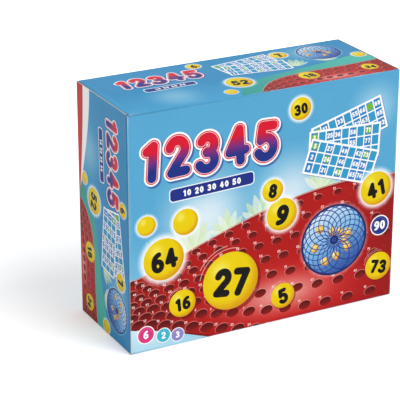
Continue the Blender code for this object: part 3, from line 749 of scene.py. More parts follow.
def make_edge_wear():
    """Where a box-shaped thing is rubbed: its edges and corners, unevenly. The same whitened edges are also a painted
    highlight along them.
    """
    tree, given = effect("Edge Wear and Highlight", {"Half Size": CARTON_BOX[0], "Centre": CARTON_BOX[1], "Width": 0.0016,
                                       "Unevenness": 90.0, "Amount": 0.7}, ["Mask"])
    places = object_places(tree)
    size = places.vectors("SUBTRACT", given["Centre"]).vectors("ABSOLUTE")
    x, y, z = given["Half Size"].vectors("SUBTRACT", size).parts()
    second = x.maths("MINIMUM", y).maths("MAXIMUM", x.maths("MAXIMUM", y).maths("MINIMUM", z))
    rough = noise(places, given["Unevenness"], 5.0, 0.65).ranged(0.32, 0.68)
    near = (second / (given["Width"] * (rough + 0.35))).ranged(1.0, 0.25)
    patchy = noise(places, 17.0, 2.0).ranged(0.42, 0.72, 0.08, 1.0)
    return put_out(tree, near * patchy * given["Amount"])


def make_handling():
    """Faint smudges and fine scratches from hands and shelves."""
    tree, given = effect("Handling", {"Smudge Scale": 14.0, "Scratch Scale": 60.0, "Amount": 1.0},
                         ["Smudges", "Scratches"])
    places = object_places(tree)
    smudges = noise(places, given["Smudge Scale"], 3.0, 0.5).ranged(0.42, 0.72)
    drawn = stretched(places, (0.10, 0.6, 1.0), (0.4, 0.7, 0.5))
    lines = (noise(drawn, given["Scratch Scale"] * 6.0, 2.0, 0.6) - 0.5).maths("ABSOLUTE").ranged(0.008, 0.0)
    few = noise(places, given["Scratch Scale"] * 0.4, 2.0).ranged(0.52, 0.62)
    return put_out(tree, smudges * given["Amount"], lines * few * given["Amount"])


def make_fibre():
    """Paper fibres: a tone that varies, with flecks, and a fine relief."""
    tree, given = effect("Fibre", {"Scale": 900.0, "Fleck Scale": 420.0, "Flecks": 0.5}, ["Tone", "Relief"])
    places = object_places(tree)
    fine = noise(stretched(places, (0.35, 1.0, 1.0)), given["Scale"], 4.0, 0.7)
    fleck = add(tree, "ShaderNodeTexVoronoi", {"Vector": places, "Scale": given["Fleck Scale"]})
    few = noise(places, 190.0, 1.0).ranged(0.55, 0.66)
    tone = fine * 0.6 + noise(places, 35.0) * 0.4
    return put_out(tree, tone - fleck.ranged(0.24, 0.12) * few * given["Flecks"], fine)


def make_dust():
    """Dust that settles on faces that look up, more in some places."""
    tree, given = effect("Dust", {"Scale": 55.0, "Amount": 0.3}, ["Mask"])
    upward = add(tree, "ShaderNodeNewGeometry")["Normal"].parts()[2].ranged(0.1, 1.0, 0.25, 1.0)
    patchy = noise(object_places(tree), given["Scale"], 5.0, 0.7).ranged(0.48, 0.80)
    return put_out(tree, upward * patchy * given["Amount"])


def make_moulding():
    """Moulded plastic: slow flow in the colour, and the fine texture of the mould."""
    tree, given = effect("Moulding", {"Flow Scale": 22.0, "Texture Scale": 1400.0}, ["Flow", "Relief"])
    places = object_places(tree)
    flow = noise(stretched(places, (0.5, 1.0, 1.3)), given["Flow Scale"], 2.0, 0.4)
    slow = noise(places, given["Flow Scale"] * 3.0, 1.0)
    return put_out(tree, flow, noise(places, given["Texture Scale"], 2.0, 0.6) + slow * 6.0)


# the edge group gives wear and a painted highlight along the edges together
EDGE_WEAR_AND_HIGHLIGHT, HANDLING, FIBRE = make_edge_wear(), make_handling(), make_fibre()
DUST, MOULDING = make_dust(), make_moulding()


def use(tree, group, **values):
    """Places an effect in a material, with its own values."""
    inputs = {key.replace("_", " "): value for key, value in values.items()}
    return add(tree, "ShaderNodeGroup", inputs, node_tree=group)


def new_finish(name):
    """A material with a plain Principled shader. Returns the material, its tree and its shader."""
    material = bpy.data.materials.new(name)
    material.use_nodes = True
    return material, material.node_tree, material.node_tree.nodes["Principled BSDF"]


def lit(colour):
    """A written colour as a shader's value."""
    return (*linear(np.minimum(colour, 1)), 1.0)


def printed_ink(tree, tone):
    """The ink of a piece, made a little lighter and darker by a tone."""
    return blend(1.0, add(tree, "ShaderNodeAttribute", attribute_name=INK)["Color"], tone, "MULTIPLY")


def relief(height, strength, distance):
    """The normal of a relief."""
    return add(height.tree, "ShaderNodeBump", {"Height": height, "Strength": strength, "Distance": distance})


def printed_finish(name, gloss=0.42, wear_and_highlight_amount=0.45, box=CARTON_BOX):
    """Ink and a satin varnish on white-faced board, rubbed at the edges, whose whitening is also a painted highlight.
    """
    material, tree, shader = new_finish(name)
    fibre = use(tree, FIBRE, Scale=1300.0, Flecks=0.0)
    wear_and_highlight = use(tree, EDGE_WEAR_AND_HIGHLIGHT, Half_Size=box[0], Centre=box[1], Amount=wear_and_highlight_amount)
    marks = use(tree, HANDLING)
    # edge wear and painted highlight: the ink turns to board white along the carton's edges
    colour = blend(wear_and_highlight, printed_ink(tree, fibre["Tone"].ranged(0.3, 0.7, 0.955, 1.03)), lit(ink("e9ecea")))
    height = noise(object_places(tree), 26.0, 2.0, 0.45) + fibre["Relief"] * 0.016
    give(shader, {"Base Color": blend(marks["Scratches"] * 0.05, colour, lit(WHITE)), "Specular IOR Level": 0.12,
                  "Roughness": marks["Smudges"] * 0.10 + gloss + wear_and_highlight * 0.35, "Normal": relief(height, 0.35, 0.0012)})
    return material


def plain_board_finish(name, colour, streaks=0.0):
    """Bare board: fibres, flecks and a matt face. A cut edge also shows its plies."""
    material, tree, shader = new_finish(name)
    fibre = use(tree, FIBRE)
    shade = blend(fibre["Tone"].ranged(0.15, 0.75), lit(colour * 0.84), lit(colour * 1.06))
    if streaks:
        plies = noise(stretched(object_places(tree), (1.0, 1.0, 0.04)), 2600.0, 1.0)
        shade = blend(plies.ranged(0.45, 0.6) * streaks, shade, lit(colour * 0.62))
    give(shader, {"Base Color": shade, "Roughness": fibre["Relief"].ranged(0.3, 0.7, 0.78, 0.92),
                  "Specular IOR Level": 0.25, "Normal": relief(fibre["Relief"], 0.25, 0.0002)})
    return material


def plastic_finish(name, colour, gloss, dust=0.25, inked=False):
    """Moulded plastic, with slow flow lines, faint scratches and a little dust."""
    material, tree, shader = new_finish(name)
    mould = use(tree, MOULDING)
    marks = use(tree, HANDLING, Smudge_Scale=30.0, Scratch_Scale=110.0)
    if inked:
        flow = printed_ink(tree, mould["Flow"].ranged(0.3, 0.7, 0.93, 1.04))
    else:
        flow = blend(mould["Flow"].ranged(0.3, 0.7), lit(colour * 0.93), lit(colour * 1.04))
    fallen = use(tree, DUST, Amount=dust)
    give(shader, {"Base Color": blend(fallen * 0.5, flow, lit(ink("b9b1a6"))), "IOR": 1.53,
                  "Roughness": marks["Smudges"] * 0.10 + gloss + (fallen + marks["Scratches"]) * 0.3,
                  "Normal": relief(mould["Relief"], 0.12, 0.00012)})
    return material


# ---- prints of the carton ----

WIDTH, DEPTH, HEIGHT = 330.0, 127.0, 272.0
STRIP_SKY, PANEL_SKY, BASE_SKY = inks("2f8dc1 41a1d2"), inks("4fa4d2 86c8e8"), inks("4fa4d2 66b2da")
BASE_SIZE = (327, 125.5)
TITLE = "12345"


def sky(width, height, high=SKY_HIGH, low=SKY_LOW):
    """The pale blue ground of a print."""
    ground = tablet((-BLEED, -BLEED), (width + BLEED, height + BLEED), 1, 2)
    return [layer([ground], fade((0, height), (0, 0), (high, high, low)))]


def scattered(motif, *rows):
    """Motifs, each from a row of its centre, its angle and what it is made with."""
    return [one for centre, angle, *made in rows for one in placed(motif(*made), centre, angle)]


def front_print():
    """The front: large numerals, a band, number cards, a dotted red field, a rosette and plain balls."""
    layers = sky(WIDTH, HEIGHT)
    for light in (((92, 142), 74, 0.8), ((196, 150), 66, 0.75), ((300, 232), 40, 0.45), ((20, 40), 52, 0.8)):
        layers += glow(*light)
    layers += scattered(tuft, ((74, 104), 12, 46), ((158, 122), -6, 40), ((118, 114), 4, 34), ((232, 146), -14, 38))
    top = bow((-6, 84), (90, 108), (190, 168), (336, 150), 48)
    bottom = bow((-6, 30), (70, 22), (150, -46), (336, -26), 48)
    layers += dotted_field(top, bottom, 8, 15)
    layers.append(layer(stroke(bottom + (0, 0.6), 0.9), ink("6d0d12"), 0.9))
    layers += scattered(ticket, ((268, 214), 16, 92, 2), ((262, 196), -2, 92, 5), ((258, 176), -18, 92, 7))
    layers += scattered(heading, ((96, 216), 0, TITLE, 35))
    layers += scattered(banner, ((98, 176), 2, "10 20 30 40 50", 100, 13.5))
    layers += scattered(rosette, ((252, 84), 0, 42))
    layers += scattered(
        ball, ((121, 62), 0, "27", 34, False, -8), ((40, 104), 0, "64", 24, True, 10),
        ((184, 128), 0, "9", 19, True, -12), ((66, 142), 0, "", 15), ((305, 136), 0, "41", 20, True, 12),
        ((187, 30), 0, "5", 15, False, 14), ((312, 40), 0, "73", 17, False, -10), ((205, 246), 0, "30", 13, True, 8),
        ((20, 146), 0, "", 11), ((172, 158), 0, "8", 13, True, -8), ((62, 48), 0, "16", 16, False, 6))
    return layers + scattered(badge, ((18, 20), 0, "6", 9.5, MAGENTA), ((39, 15), 0, "2", 8, AQUA),
                              ((312, 90), 0, "90", 11, NAVY), ((56, 12), 0, "3", 7.5, LAVENDER))


def strip_print(width):
    """The narrow faces: the front's motifs again, smaller, along a strip."""
    layers = sky(width, DEPTH, *STRIP_SKY) + glow((70, 30), 40, 0.35) + glow((width - 60, 96), 40, 0.35)
    shore = bow((width * 0.40, -5), (width * 0.46, 60), (width * 0.62, 34), (width + 5, 74), 30)
    patch = np.concatenate((shore, [(width + 5, -5)]))
    layers.append(layer([patch], fade((width * 0.4, 0), (width, 60), (TEAL, ink("4dbcb0")))))
    top = bow((width * 0.47, -6), (width * 0.56, 58), (width * 0.74, 30), (width + 6, 44), 36)
    bottom = bow((width * 0.50, -10), (width * 0.62, -10), (width * 0.8, -10), (width + 6, -10), 36)
    layers += dotted_field(top, bottom, 4, 14, (3.9, 2.6), False)
    layers += scattered(tuft, ((width * 0.72, 60), -4, 26), ((width * 0.84, 62), -12, 22))
    layers += scattered(ticket, ((width * 0.575, 93), 9, 74, 3), ((width * 0.59, 76), -7, 74, 6))
    layers += scattered(heading, ((width * 0.24, 88), 0, TITLE, 21))
    layers += scattered(banner, ((width * 0.24, 61), 1.5, "10 20 30 40", 60, 9))
    layers += scattered(rosette, ((width * 0.86, 93), 0, 25, 16, 7))
    return layers + scattered(
        ball, ((width * 0.46, 40), 0, "52", 15, True, -8), ((width * 0.72, 104), 0, "7", 10, True, 8),
        ((width * 0.70, 26), 0, "18", 12, False, 6), ((width * 0.97, 66), 0, "", 8),
        ((width * 0.93, 22), 0, "34", 10, False, -12), ((width * 0.405, 112), 0, "6", 8, True, 10),
        ((width * 0.39, 16), 0, "", 7))


def side_print(sign):
    """A side: the strip stood on end, with a white and a red band along its back edge."""
    layers = strip_print(HEIGHT)
    for start, reach, colour in ((34, 150, WHITE), (17, 176, RED)):
        edge = bow((-5, start), (50, start - 1), (110, 8), (reach, -6), 26)
        layers.append(layer([np.concatenate((edge, [(-5, -6)]))], colour))
    layers = placed(layers, (-HEIGHT / 2, -DEPTH / 2))
    return placed(layers, (DEPTH / 2, HEIGHT / 2 - END_DROP), 90 * sign)


def back_print():
    """The back: a pale panel with number cards and a row of balls on the blue ground."""
    layers = sky(WIDTH, HEIGHT, *PANEL_SKY) + glow((165, 128), 150, 0.3)
    layers += scattered(heading, ((165, 232), 0, TITLE, 30))
    for (x, y), corner, tone in (((20, 62), 10, "d9eef8"), ((23, 65), 8, "f5fbfe")):
        layers.append(layer([tablet((x, y), (WIDTH - x, 258 - y), corner)], ink(tone)))
    layers += scattered(ticket, ((92, 158), 0, 112, 1), ((92, 102), 0, 112, 4), ((238, 158), 0, 112, 6),
                        ((238, 102), 0, 112, 8))
    texts = ("4", "17", "25", "38", "46", "59", "61", "80")
    return layers + scattered(ball, *(((33 + 37.7 * place, 34), 0, text, 13, True, 4 - 2 * (place % 4))
                                      for place, text in enumerate(texts)))


def base_print():
    """The underside: the blue ground with one row of small marks."""
    colours = (MAGENTA, AQUA, NAVY, LAVENDER, TEAL, CRIMSON)
    return sky(*BASE_SIZE, *BASE_SKY) + scattered(badge, *(((88 + 30 * place, 63), 0, str(place + 1), 8, colour)
                                                           for place, colour in enumerate(colours)))


# ---- the carton ----

PANEL_X, PANEL_Y, INSET, REAR = WIDTH / 2 * MM, DEPTH / 2 * MM, 1.5, 62.0
INNER_X = PANEL_X - INSET * MM
END_DROP, END_HEIGHT, END_DEPTH = 0.6, 271.1, 125.0
TUCK_REACH, TUCK_LOW, TUCK_HIGH, TUCK_CORNER, TUCK_LEAN = 18.8, 3.8, 268.8, 9.0, math.radians(6)
DUST_REACH, DUST_BAND = 52.0, 14.0
DUST_CUTS = np.array(((-55.3, 0.0), (-55.3, 7.5), (-49.3, 13.5), (-49.3, 46.0), (-43.3, 52.0), (24.14, 52.0),
                      (33.6, 46.0), (59.3, 0.0)))
GLUE_WIDTH, GLUE_REACH, GLUE_TAPER = 315.0, 23.5, 12.0
BARE_TONE, BAND_TONE, CREASE_INK = inks("eeece6 4f9cc6 3a97ca")
CREASE_OUTER, CREASE_INNER, CREASE_REACH, CREASE_GRIP = 1.44, 0.50, 26.0, 41.0
TUCK_CREASE_SHIFT, TUCK_CREASE_INSET, TUCK_FOLD = np.array((-0.09, 0.08)), 0.4, 96
DUST_CREASE = (-54.9, 58.9)


def make_tuck(side, sign):
    """The flap on the front edge of an end, which tucks in behind the front."""
    inward = np.array((-sign * math.cos(TUCK_LEAN), math.sin(TUCK_LEAN), 0))
    hinge = np.array((sign * WIDTH / 2, DEPTH / 2 - END_DEPTH, 0)) * MM
    corners = [sweep((TUCK_REACH - TUCK_CORNER, place), TUCK_CORNER, start, start + 90, 12)
               for place, start in ((TUCK_LOW + TUCK_CORNER, -90), (TUCK_HIGH - TUCK_CORNER, 0))]
    root = ends_of(TUCK_REACH, (FOLD, 0))[0]
    outline = np.concatenate([[(root, TUCK_LOW)], *corners, [(root, TUCK_HIGH)]])
    size = (TUCK_REACH, HEIGHT)
    board = Board(hinge, inward, UP, size, (FOLD, 0, 0, 0))
    if sign > 0:
        outline = (outline * (-1, 1) + (TUCK_REACH, 0))[::-1]
        board = Board(hinge + inward * TUCK_REACH * MM, -inward, UP, size, (0, FOLD, 0, 0))
    board_piece(f"{side}_tuck_sheet", f"{side}_tuck", f"{side}_tuck_flap", board, sky(*size, *STRIP_SKY), BLED,
                outline)


def make_dust_flap(side, level, sign):
    """A flap that folds down or up behind an end."""
    top = level == "top"
    away = np.maximum(DUST_CUTS[:, 1], ends_of(DUST_REACH, (FOLD, 0))[0])
    outline = np.column_stack((sign * DUST_CUTS[:, 0] + DEPTH / 2, DUST_REACH - away if top else away))
    if np.cross(outline, np.roll(outline, -1, 0)).sum() < 0:
        outline = outline[::-1]
    corner = (sign * INNER_X, -sign * DEPTH / 2 * MM, (HEIGHT - DUST_REACH) * MM if top else 0)
    board = Board(corner, BACK * sign, UP, (DEPTH, DUST_REACH), (0, 0, 0, FOLD) if top else (0, 0, FOLD, 0))
    fold, inner = (DUST_REACH, DUST_REACH - DUST_BAND) if top else (0, DUST_BAND)
    band = np.array(((-5, fold), (DEPTH + 5, fold), (DEPTH + 5, inner), (-5, inner)))
    board_piece(f"{side}_{level}_dust_sheet", f"{side}_{level}_dust", f"{side}_{level}_dust_flap", board,
                [layer([band[::-1] if top else band], BAND_TONE)], BLED, outline, BARE_TONE)


def closed_mesh(mesh, weld=0.0):
    """Closes a mesh's seams within a distance and turns its faces out."""
    bm = bmesh.new()
    bm.from_mesh(mesh)
    if weld:
        bmesh.ops.remove_doubles(bm, verts=bm.verts, dist=weld)
    bmesh.ops.recalc_face_normals(bm, faces=bm.faces)
    bm.to_mesh(mesh)
    bm.free()


def make_crease(name, middle, start, end, axis, run):
    """The folded line between two panels: a curved strip of board inside both."""
    sign = 1 if end > start else -1
    grips, reaches = ((start + sign * away, end - sign * away) for away in (CREASE_GRIP, CREASE_REACH))
    turns = np.radians(np.concatenate((np.linspace(reaches[0], grips[0], 4)[:-1], np.linspace(*grips, 19),
                                       np.linspace(grips[1], reaches[1], 4)[1:])))
    unit = np.column_stack((np.cos(turns), np.sin(turns)))
    steps = len(turns) - 1

    def stood(flat, along):
        return np.insert(flat, axis, along, axis=1) * MM

    section = np.concatenate((unit * CREASE_OUTER, unit[::-1] * CREASE_INNER)) + middle
    count = len(section)
    faces = ring_faces(2, count)
    for base in (0, count):
        faces += [[base + place, base + place + 1, base + count - 2 - place, base + count - 1 - place]
                  for place in range(steps)]
    slots = [0] * steps + [2] + [1] * steps + [2] * (1 + 2 * steps)
    piece = new_piece(name, np.concatenate([stood(section, along) for along in run]), faces,
                      [BLED, BARE_BOARD, CUT_BOARD], slots, np.tile(CREASE_INK, (4 * len(faces), 1)))
    piece.data.polygons.foreach_set("use_smooth", [slot < 2 for slot in slots])
    closed_mesh(piece.data)
    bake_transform(piece)


def make_creases(side, sign):
    """The creases of one end of the carton."""
    corner, outward = sign * (WIDTH / 2 - FOLD), 90 - 90 * sign
    make_crease(f"{side}_end_crease", (corner, DEPTH / 2 - FOLD), 90, outward, 2,
                (SHEET, END_HEIGHT))
    make_crease(f"{side}_tuck_crease",
                (corner + sign * TUCK_CREASE_SHIFT[0], DEPTH / 2 - END_DEPTH + FOLD + TUCK_CREASE_SHIFT[1]), outward,
                outward - sign * TUCK_FOLD, 2, (TUCK_LOW + TUCK_CREASE_INSET, TUCK_HIGH - TUCK_CREASE_INSET))
    for level, height, away in (("top", HEIGHT - FOLD, 90), ("bottom", FOLD, -90 if sign > 0 else 270)):
        make_crease(f"{side}_{level}_dust_crease",
                    (sign * (WIDTH / 2 - INSET - FOLD), height), away, outward, 1, DUST_CREASE)


def make_carton():
    """The tube and the two ends of the carton."""
    across = 2 * INNER_X / MM
    for name, node, corner, right, up, size, folds, layers in (
            ("front_sheet", "front_panel", (-PANEL_X, -PANEL_Y, 0), RIGHT, UP, (WIDTH, HEIGHT), (0, 0, FOLD, FOLD),
             front_print()),
            ("top_sheet", "top_panel", (-INNER_X, -PANEL_Y, HEIGHT * MM), RIGHT, BACK, (across, DEPTH), (FOLD,) * 4,
             strip_print(across)),
            ("back_sheet", "back_panel", (PANEL_X, PANEL_Y, 0), LEFT, UP, (WIDTH, HEIGHT), (FOLD, FOLD, 0, FOLD),
             back_print()),
            ("base_sheet", "bottom_panel", (-INNER_X, REAR * MM, 0), RIGHT, FRONT, (across, REAR + DEPTH / 2),
             (FOLD,) * 4, base_print())):
        board_piece(name, "carton", node, Board(corner, right, up, size, folds), layers, PRINTED)
    root = ends_of(GLUE_REACH, (FOLD, 0))[0]
    outline = ((0, root), (GLUE_WIDTH, root), (GLUE_WIDTH - GLUE_TAPER, GLUE_REACH), (GLUE_TAPER, GLUE_REACH))
    board = Board((GLUE_WIDTH / 2 * MM, REAR * MM, 0), LEFT, UP, (GLUE_WIDTH, GLUE_REACH), (0, 0, FOLD, 0))
    board_piece("glue_sheet", "carton", "glue_flap", board, [], BLED, outline, BARE_TONE)
    for side, sign in (("left", -1), ("right", 1)):
        corner = (sign * PANEL_X, PANEL_Y if sign < 0 else PANEL_Y - END_DEPTH * MM, END_DROP * MM)
        layers = placed(side_print(sign), (0 if sign < 0 else END_DEPTH - DEPTH, 0))
        board_piece(f"{side}_end_sheet", f"{side}_end", f"{side}_end_panel",
                    Board(corner, BACK * sign, UP, (END_DEPTH, END_HEIGHT), (FOLD, FOLD, 0, 0)), layers, PRINTED)
        make_tuck(side, sign)
        for level in ("top", "bottom"):
            make_dust_flap(side, level, sign)
        make_creases(side, sign)


# ---- what repeats, by Geometry Nodes ----

def repeating_tree(name, inputs):
    """An empty Geometry Nodes tree with named inputs. Returns the tree and its inputs."""
    return new_group(name, "GeometryNodeTree", {"Geometry": "Geometry", **inputs}, {"Geometry": "Geometry"})


def joined(*parts):
    """Several shapes as one."""
    node = parts[0].tree.nodes.new("GeometryNodeJoinGeometry")
    for part in parts:
        part.tree.links.new(part.socket, node.inputs[0])
    return Wire(node.outputs[0])


def real(shapes):
    """Instances made real."""
    return add(shapes.tree, "GeometryNodeRealizeInstances", {"Geometry": shapes})


def moved(shape, **values):
    """A shape moved, turned or scaled."""
    return add(shape.tree, "GeometryNodeTransform", {"Geometry": shape, **values})


def copies(points, shape, rotation=(0.0, 0.0, 0.0)):
    """A copy of a shape at each point."""
    return add(points.tree, "GeometryNodeInstanceOnPoints", {"Points": points, "Instance": shape, "Rotation": rotation})


def without(shape, chosen):
    """A shape without its chosen points."""
    return add(shape.tree, "GeometryNodeDeleteGeometry", {"Geometry": shape, "Selection": chosen})


def vector_of(tree, x=0.0, y=0.0, z=0.0):
    """A vector from its three values."""
    return add(tree, "ShaderNodeCombineXYZ", (x, y, z))


def circle(tree, corners, radius):
    """A ring of wire."""
    return add(tree, "GeometryNodeMeshCircle", {"Vertices": corners, "Radius": radius})


def bars(wires, thickness, sides=8):
    """Round bars along wires, with closed ends."""
    runs = add(wires.tree, "GeometryNodeMeshToCurve", {"Mesh": wires})
    ring = add(wires.tree, "GeometryNodeCurvePrimitiveCircle", {"Resolution": sides, "Radius": thickness * 0.5})
    return add(wires.tree, "GeometryNodeCurveToMesh", {"Curve": runs, "Profile Curve": ring, "Fill Caps": True})


def finished(tree, shapes, given):
    """Makes the shapes real, gives them their finish and puts them out."""
    smooth = add(tree, "GeometryNodeSetShadeSmooth", {"Geometry": real(shapes)})
    return put_out(tree, add(tree, "GeometryNodeSetMaterial", {"Geometry": smooth, "Material": given["Finish"]}))


RIB_STEPS, MIDDLE_STEPS, COLLAR_STEPS, RIM_STEPS = 40, 150, 72, 20


def lattice_tree():
    """Half a ball of crossing ribs, from the middle ring to the hub, open at the outlet."""
    tree, given = repeating_tree("Cage Lattice", {
        "Centre": "Vector", "Radius": "Float", "Bar": "Float", "Ribs": "Int", "Twist": "Float", "Reach": "Float",
        "Side": "Float", "Set Off": "Float", "Outlet": "Float", "Finish": "Material"})
    radius, bar, side, set_off, outlet = (given[name] for name in ("Radius", "Bar", "Side", "Set Off", "Outlet"))
    index = add(tree, "GeometryNodeInputIndex")
    share = index / float(RIB_STEPS - 1)
    latitude, longitude = share * given["Reach"], share * given["Twist"]
    ring, along = radius * latitude.maths("COSINE"), radius * latitude.maths("SINE") + set_off
    spot = vector_of(tree, along * side, ring * longitude.maths("SINE"), ring * longitude.maths("COSINE"))
    line = add(tree, "GeometryNodeMeshLine", {"Count": RIB_STEPS})
    rib = add(tree, "GeometryNodeSetPosition", {"Geometry": line, "Position": spot})
    row = add(tree, "GeometryNodeMeshLine", {"Count": given["Ribs"], "Offset": (0.0, 0.0, 0.0)})
    one_way = real(copies(row, rib, vector_of(tree, index * (2 * math.pi) / given["Ribs"])))
    upright = moved(circle(tree, MIDDLE_STEPS, radius), Rotation=(0.0, math.pi / 2, 0.0),
                    Translation=vector_of(tree, set_off * side))
    wires = joined(one_way, moved(one_way, Scale=(1.0, -1.0, 1.0)), upright)

    x, y, z = add(tree, "GeometryNodeInputPosition").parts()
    away = (x * x + y * y).maths("SQRT")
    lattice = without(wires, away.maths("LESS_THAN", outlet) * z.maths("GREATER_THAN", 0.0))
    reach = outlet + bar * 0.3
    level = (radius * radius - reach * reach).maths("SQRT")
    collar = moved(circle(tree, COLLAR_STEPS, reach), Translation=vector_of(tree, z=level))
    half_collar = without(collar, (x * side).maths("LESS_THAN", set_off))
    shapes = [moved(bars(wire, bar), Translation=given["Centre"]) for wire in (lattice, half_collar)]
    return finished(tree, joined(given["Geometry"], *shapes), given)


def rim_tree():
    """A round bead at each point of a mesh, for the rims of the pockets."""
    tree, given = repeating_tree("Pocket Rims", {"Radius": "Float", "Bead": "Float", "Finish": "Material"})
    bead = bars(circle(tree, RIM_STEPS, given["Radius"]), given["Bead"], 6)
    upright = moved(bead, Rotation=(math.pi / 2, 0.0, 0.0))
    return finished(tree, joined(copies(given["Geometry"], upright)), given)


def grow(piece, tree, **values):
    """Runs a tree on a piece with its own values, and keeps the result as the piece's plain mesh."""
    modifier = piece.modifiers.new("repeat", "NODES")
    modifier.node_group = tree
    for item in tree.interface.items_tree:
        if item.in_out == "INPUT" and item.name.replace(" ", "_") in values:
            modifier[item.identifier] = values[item.name.replace(" ", "_")]
    bpy.context.view_layer.update()
    result = bpy.data.meshes.new_from_object(piece.evaluated_get(bpy.context.evaluated_depsgraph_get()))
    piece.modifiers.remove(modifier)
    piece.data = result
    return piece


# ---- moulded pieces ----

WELD = 0.000004
SHARP, SHARP_SOFTENED = math.radians(32), math.radians(40)
LEVEL_ANGLE, EDGE_ANGLE, MOULD_EDGE = math.radians(1), math.radians(35), 0.00035


def settled(piece, body, nodes, sharp=SHARP, level=True):
    """Closes a piece's seams, turns its faces out, smooths its round faces and gives it its body."""
    closed_mesh(piece.data, WELD)
    piece.data.shade_smooth()
    piece.data.set_sharp_from_angle(angle=sharp)
    if level:
        piece.modifiers.new("level_faces", "WEIGHTED_NORMAL").keep_sharp = True
    return belongs(piece, body, nodes)


def softened(node, body):
    """A red copy of a part with its sharp edges rounded, as from a mould."""
    bm = bmesh.new()
    bm.from_mesh(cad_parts[node].data)
    bmesh.ops.remove_doubles(bm, verts=bm.verts, dist=WELD)
    bmesh.ops.dissolve_limit(bm, angle_limit=LEVEL_ANGLE, verts=bm.verts, edges=bm.edges)
    sharp = [edge for edge in bm.edges if edge.is_manifold and edge.calc_face_angle(0.0) > EDGE_ANGLE]
    bmesh.ops.bevel(bm, geom=sharp, offset=MOULD_EDGE, segments=2, profile=0.5, affect="EDGES", clamp_overlap=True)
    mesh = bpy.data.meshes.new(f"{node}_moulded")
    bm.to_mesh(mesh)
    bm.free()
    mesh.materials.clear()
    mesh.materials.append(RED_PLASTIC)
    settled(new_object(f"{node}_moulded", mesh), body, [node], SHARP_SOFTENED)


def eased_profile(profile, size, closed=False, steps=2):
    """A profile with its corners eased to small rounds."""
    profile = [np.array(point, float) for point in profile]
    result = []
    for place, point in enumerate(profile):
        if not closed and place in (0, len(profile) - 1):
            result.append(point)
            continue
        before, after = profile[place - 1] - point, profile[(place + 1) % len(profile)] - point
        cut = min(size, 0.4 * np.linalg.norm(before), 0.4 * np.linalg.norm(after))
        start, end = (point + cut * run / np.linalg.norm(run) for run in (before, after))
        shares = np.linspace(0, 1, steps + 1)[:, None]
        result += list(start * (1 - shares) ** 2 + point * 2 * shares * (1 - shares) + end * shares ** 2)
    return result


def lathe(name, profile, centre, axis, finish, sides, closed=False):
    """A piece whose profile, as (radius, distance along), is turned round an axis."""
    side = UP if abs(axis.z) < 0.5 else RIGHT
    other = axis.cross(side)
    points = []
    for radius, along in profile:
        for angle in (2 * math.pi * step / sides for step in range(sides)):
            points.append(centre + (axis * along + (side * math.cos(angle) + other * math.sin(angle)) * radius) * MM)
    return new_piece(name, points, ring_faces(len(profile), sides, closed=closed), [finish])


def grown(loop, distance):
    """An outline moved outwards by a distance."""
    before, after = loop - np.roll(loop, 1, 0), np.roll(loop, -1, 0) - loop
    sides = [run[:, ::-1] * (1, -1) / np.linalg.norm(run, axis=1)[:, None] for run in (before, after)]
    middle = sides[0] + sides[1]
    return loop + middle * (2 * distance / (middle ** 2).sum(1))[:, None]


class Mould:
    """A plastic body put together from flat faces and walls, in millimetres, with its ink."""

    def __init__(self, board, colour):
        self.board, self.colour = board, colour
        self.points, self.faces, self.inks = [], [], []

    def add(self, points, faces, inks=None):
        """Adds faces, with an ink for each of their corners."""
        first = len(self.points)
        self.points += list(points)
        self.faces += [[first + corner for corner in face] for face in faces]
        self.inks.append(np.tile(self.colour, (sum(map(len, faces)), 1)) if inks is None else inks)

    def flat(self, outline, depth, holes=(), outwards=True, layers=()):
        """Adds a flat face at a depth, with its print."""
        points, triangles = cut_sheet(outline, [loop for one in layers for loop in one.loops], holes=holes)
        inks = painted(layers, points, triangles, self.colour)
        self.add(self.board.at(points, depth), (triangles if outwards else triangles[:, ::-1]).tolist(), inks)

    def wall(self, rings, outwards=False):
        """Adds a wall through outlines at growing depths."""
        points = np.concatenate([self.board.at(loop, depth) for loop, depth in rings])
        self.add(points, ring_faces(len(rings), len(rings[0][0]), RISING if outwards else RISING[::-1]))

    def piece(self, name, nodes, finish, slot, level=True):
        """Makes the body one closed piece of the carton."""
        piece = new_piece(name, self.points, self.faces, [finish], inks=np.concatenate(self.inks))
        return settled(piece, "carton", nodes, level=level)


# ---- the ball board ----

RISING = ((0, 0), (1, 0), (1, 1), (0, 1))
BOARD_FACE, BOARD_FOOT = 0.0465, 0.0015
BOARD_SIZE, BOARD_CORNERS, BOARD_HEIGHT, BOARD_WALL, DECK = (308.0, 262.0), (22, 60), 14.0, 2.0, 5.0
BOARD_EDGE = ((-1.2, 0.0), (-0.6, 0.16), (-0.16, 0.6), (0, 1.2))
POCKET, POCKET_DEPTH, PITCH, FIRST_POCKET = 6.6, 3.4, 20.0, (30, 24)
POCKET_ROWS, POCKET_COLUMNS, FULL_ROWS, FREE_COLUMNS = 9, 6, 6, 3
LIP, FOOT, CHUTE_FOOT = 0.45, 0.4, 2.0
CHUTE, CHUTE_DEPTH, CHUTE_END, DISH, DISH_PLACE = 11.0, 11.5, 205.0, 19.0, 30.0
SLOT, SLOT_PLACE, SLOT_CORNER = np.array((3.3, 10.3)), (56.0, 200.0), 0.8
NUMBER_HEIGHT, NUMBER_HALF, NUMBER_DROP, NUMBER_INK = 3.3, 0.13, 10.1, ink("fff3ec")
FRAME_LINE = ((20.6, 9.5), (142.5, 9.5), (142.5, 196.5), (79.0, 196.5), (79.0, 135.5), (20.6, 135.5))
FRAME_HALF, FRAME_CORNER, SMALL_PRINT = 0.35, 9, 6
RIM_FACE, RIM_RADIUS, RIM_BEAD = BOARD_FACE - 0.0001, 0.0072, 0.0011


def pocket_places():
    """The 90 pockets of the ball board, in the order of their numbers."""
    places = [(side * (FIRST_POCKET[0] + PITCH * column), FIRST_POCKET[1] + PITCH * row)
              for row in range(POCKET_ROWS)
              for column in range(0 if row < FULL_ROWS else FREE_COLUMNS, POCKET_COLUMNS) for side in (-1, 1)]
    return sorted(places, key=lambda place: (-place[1], place[0]))


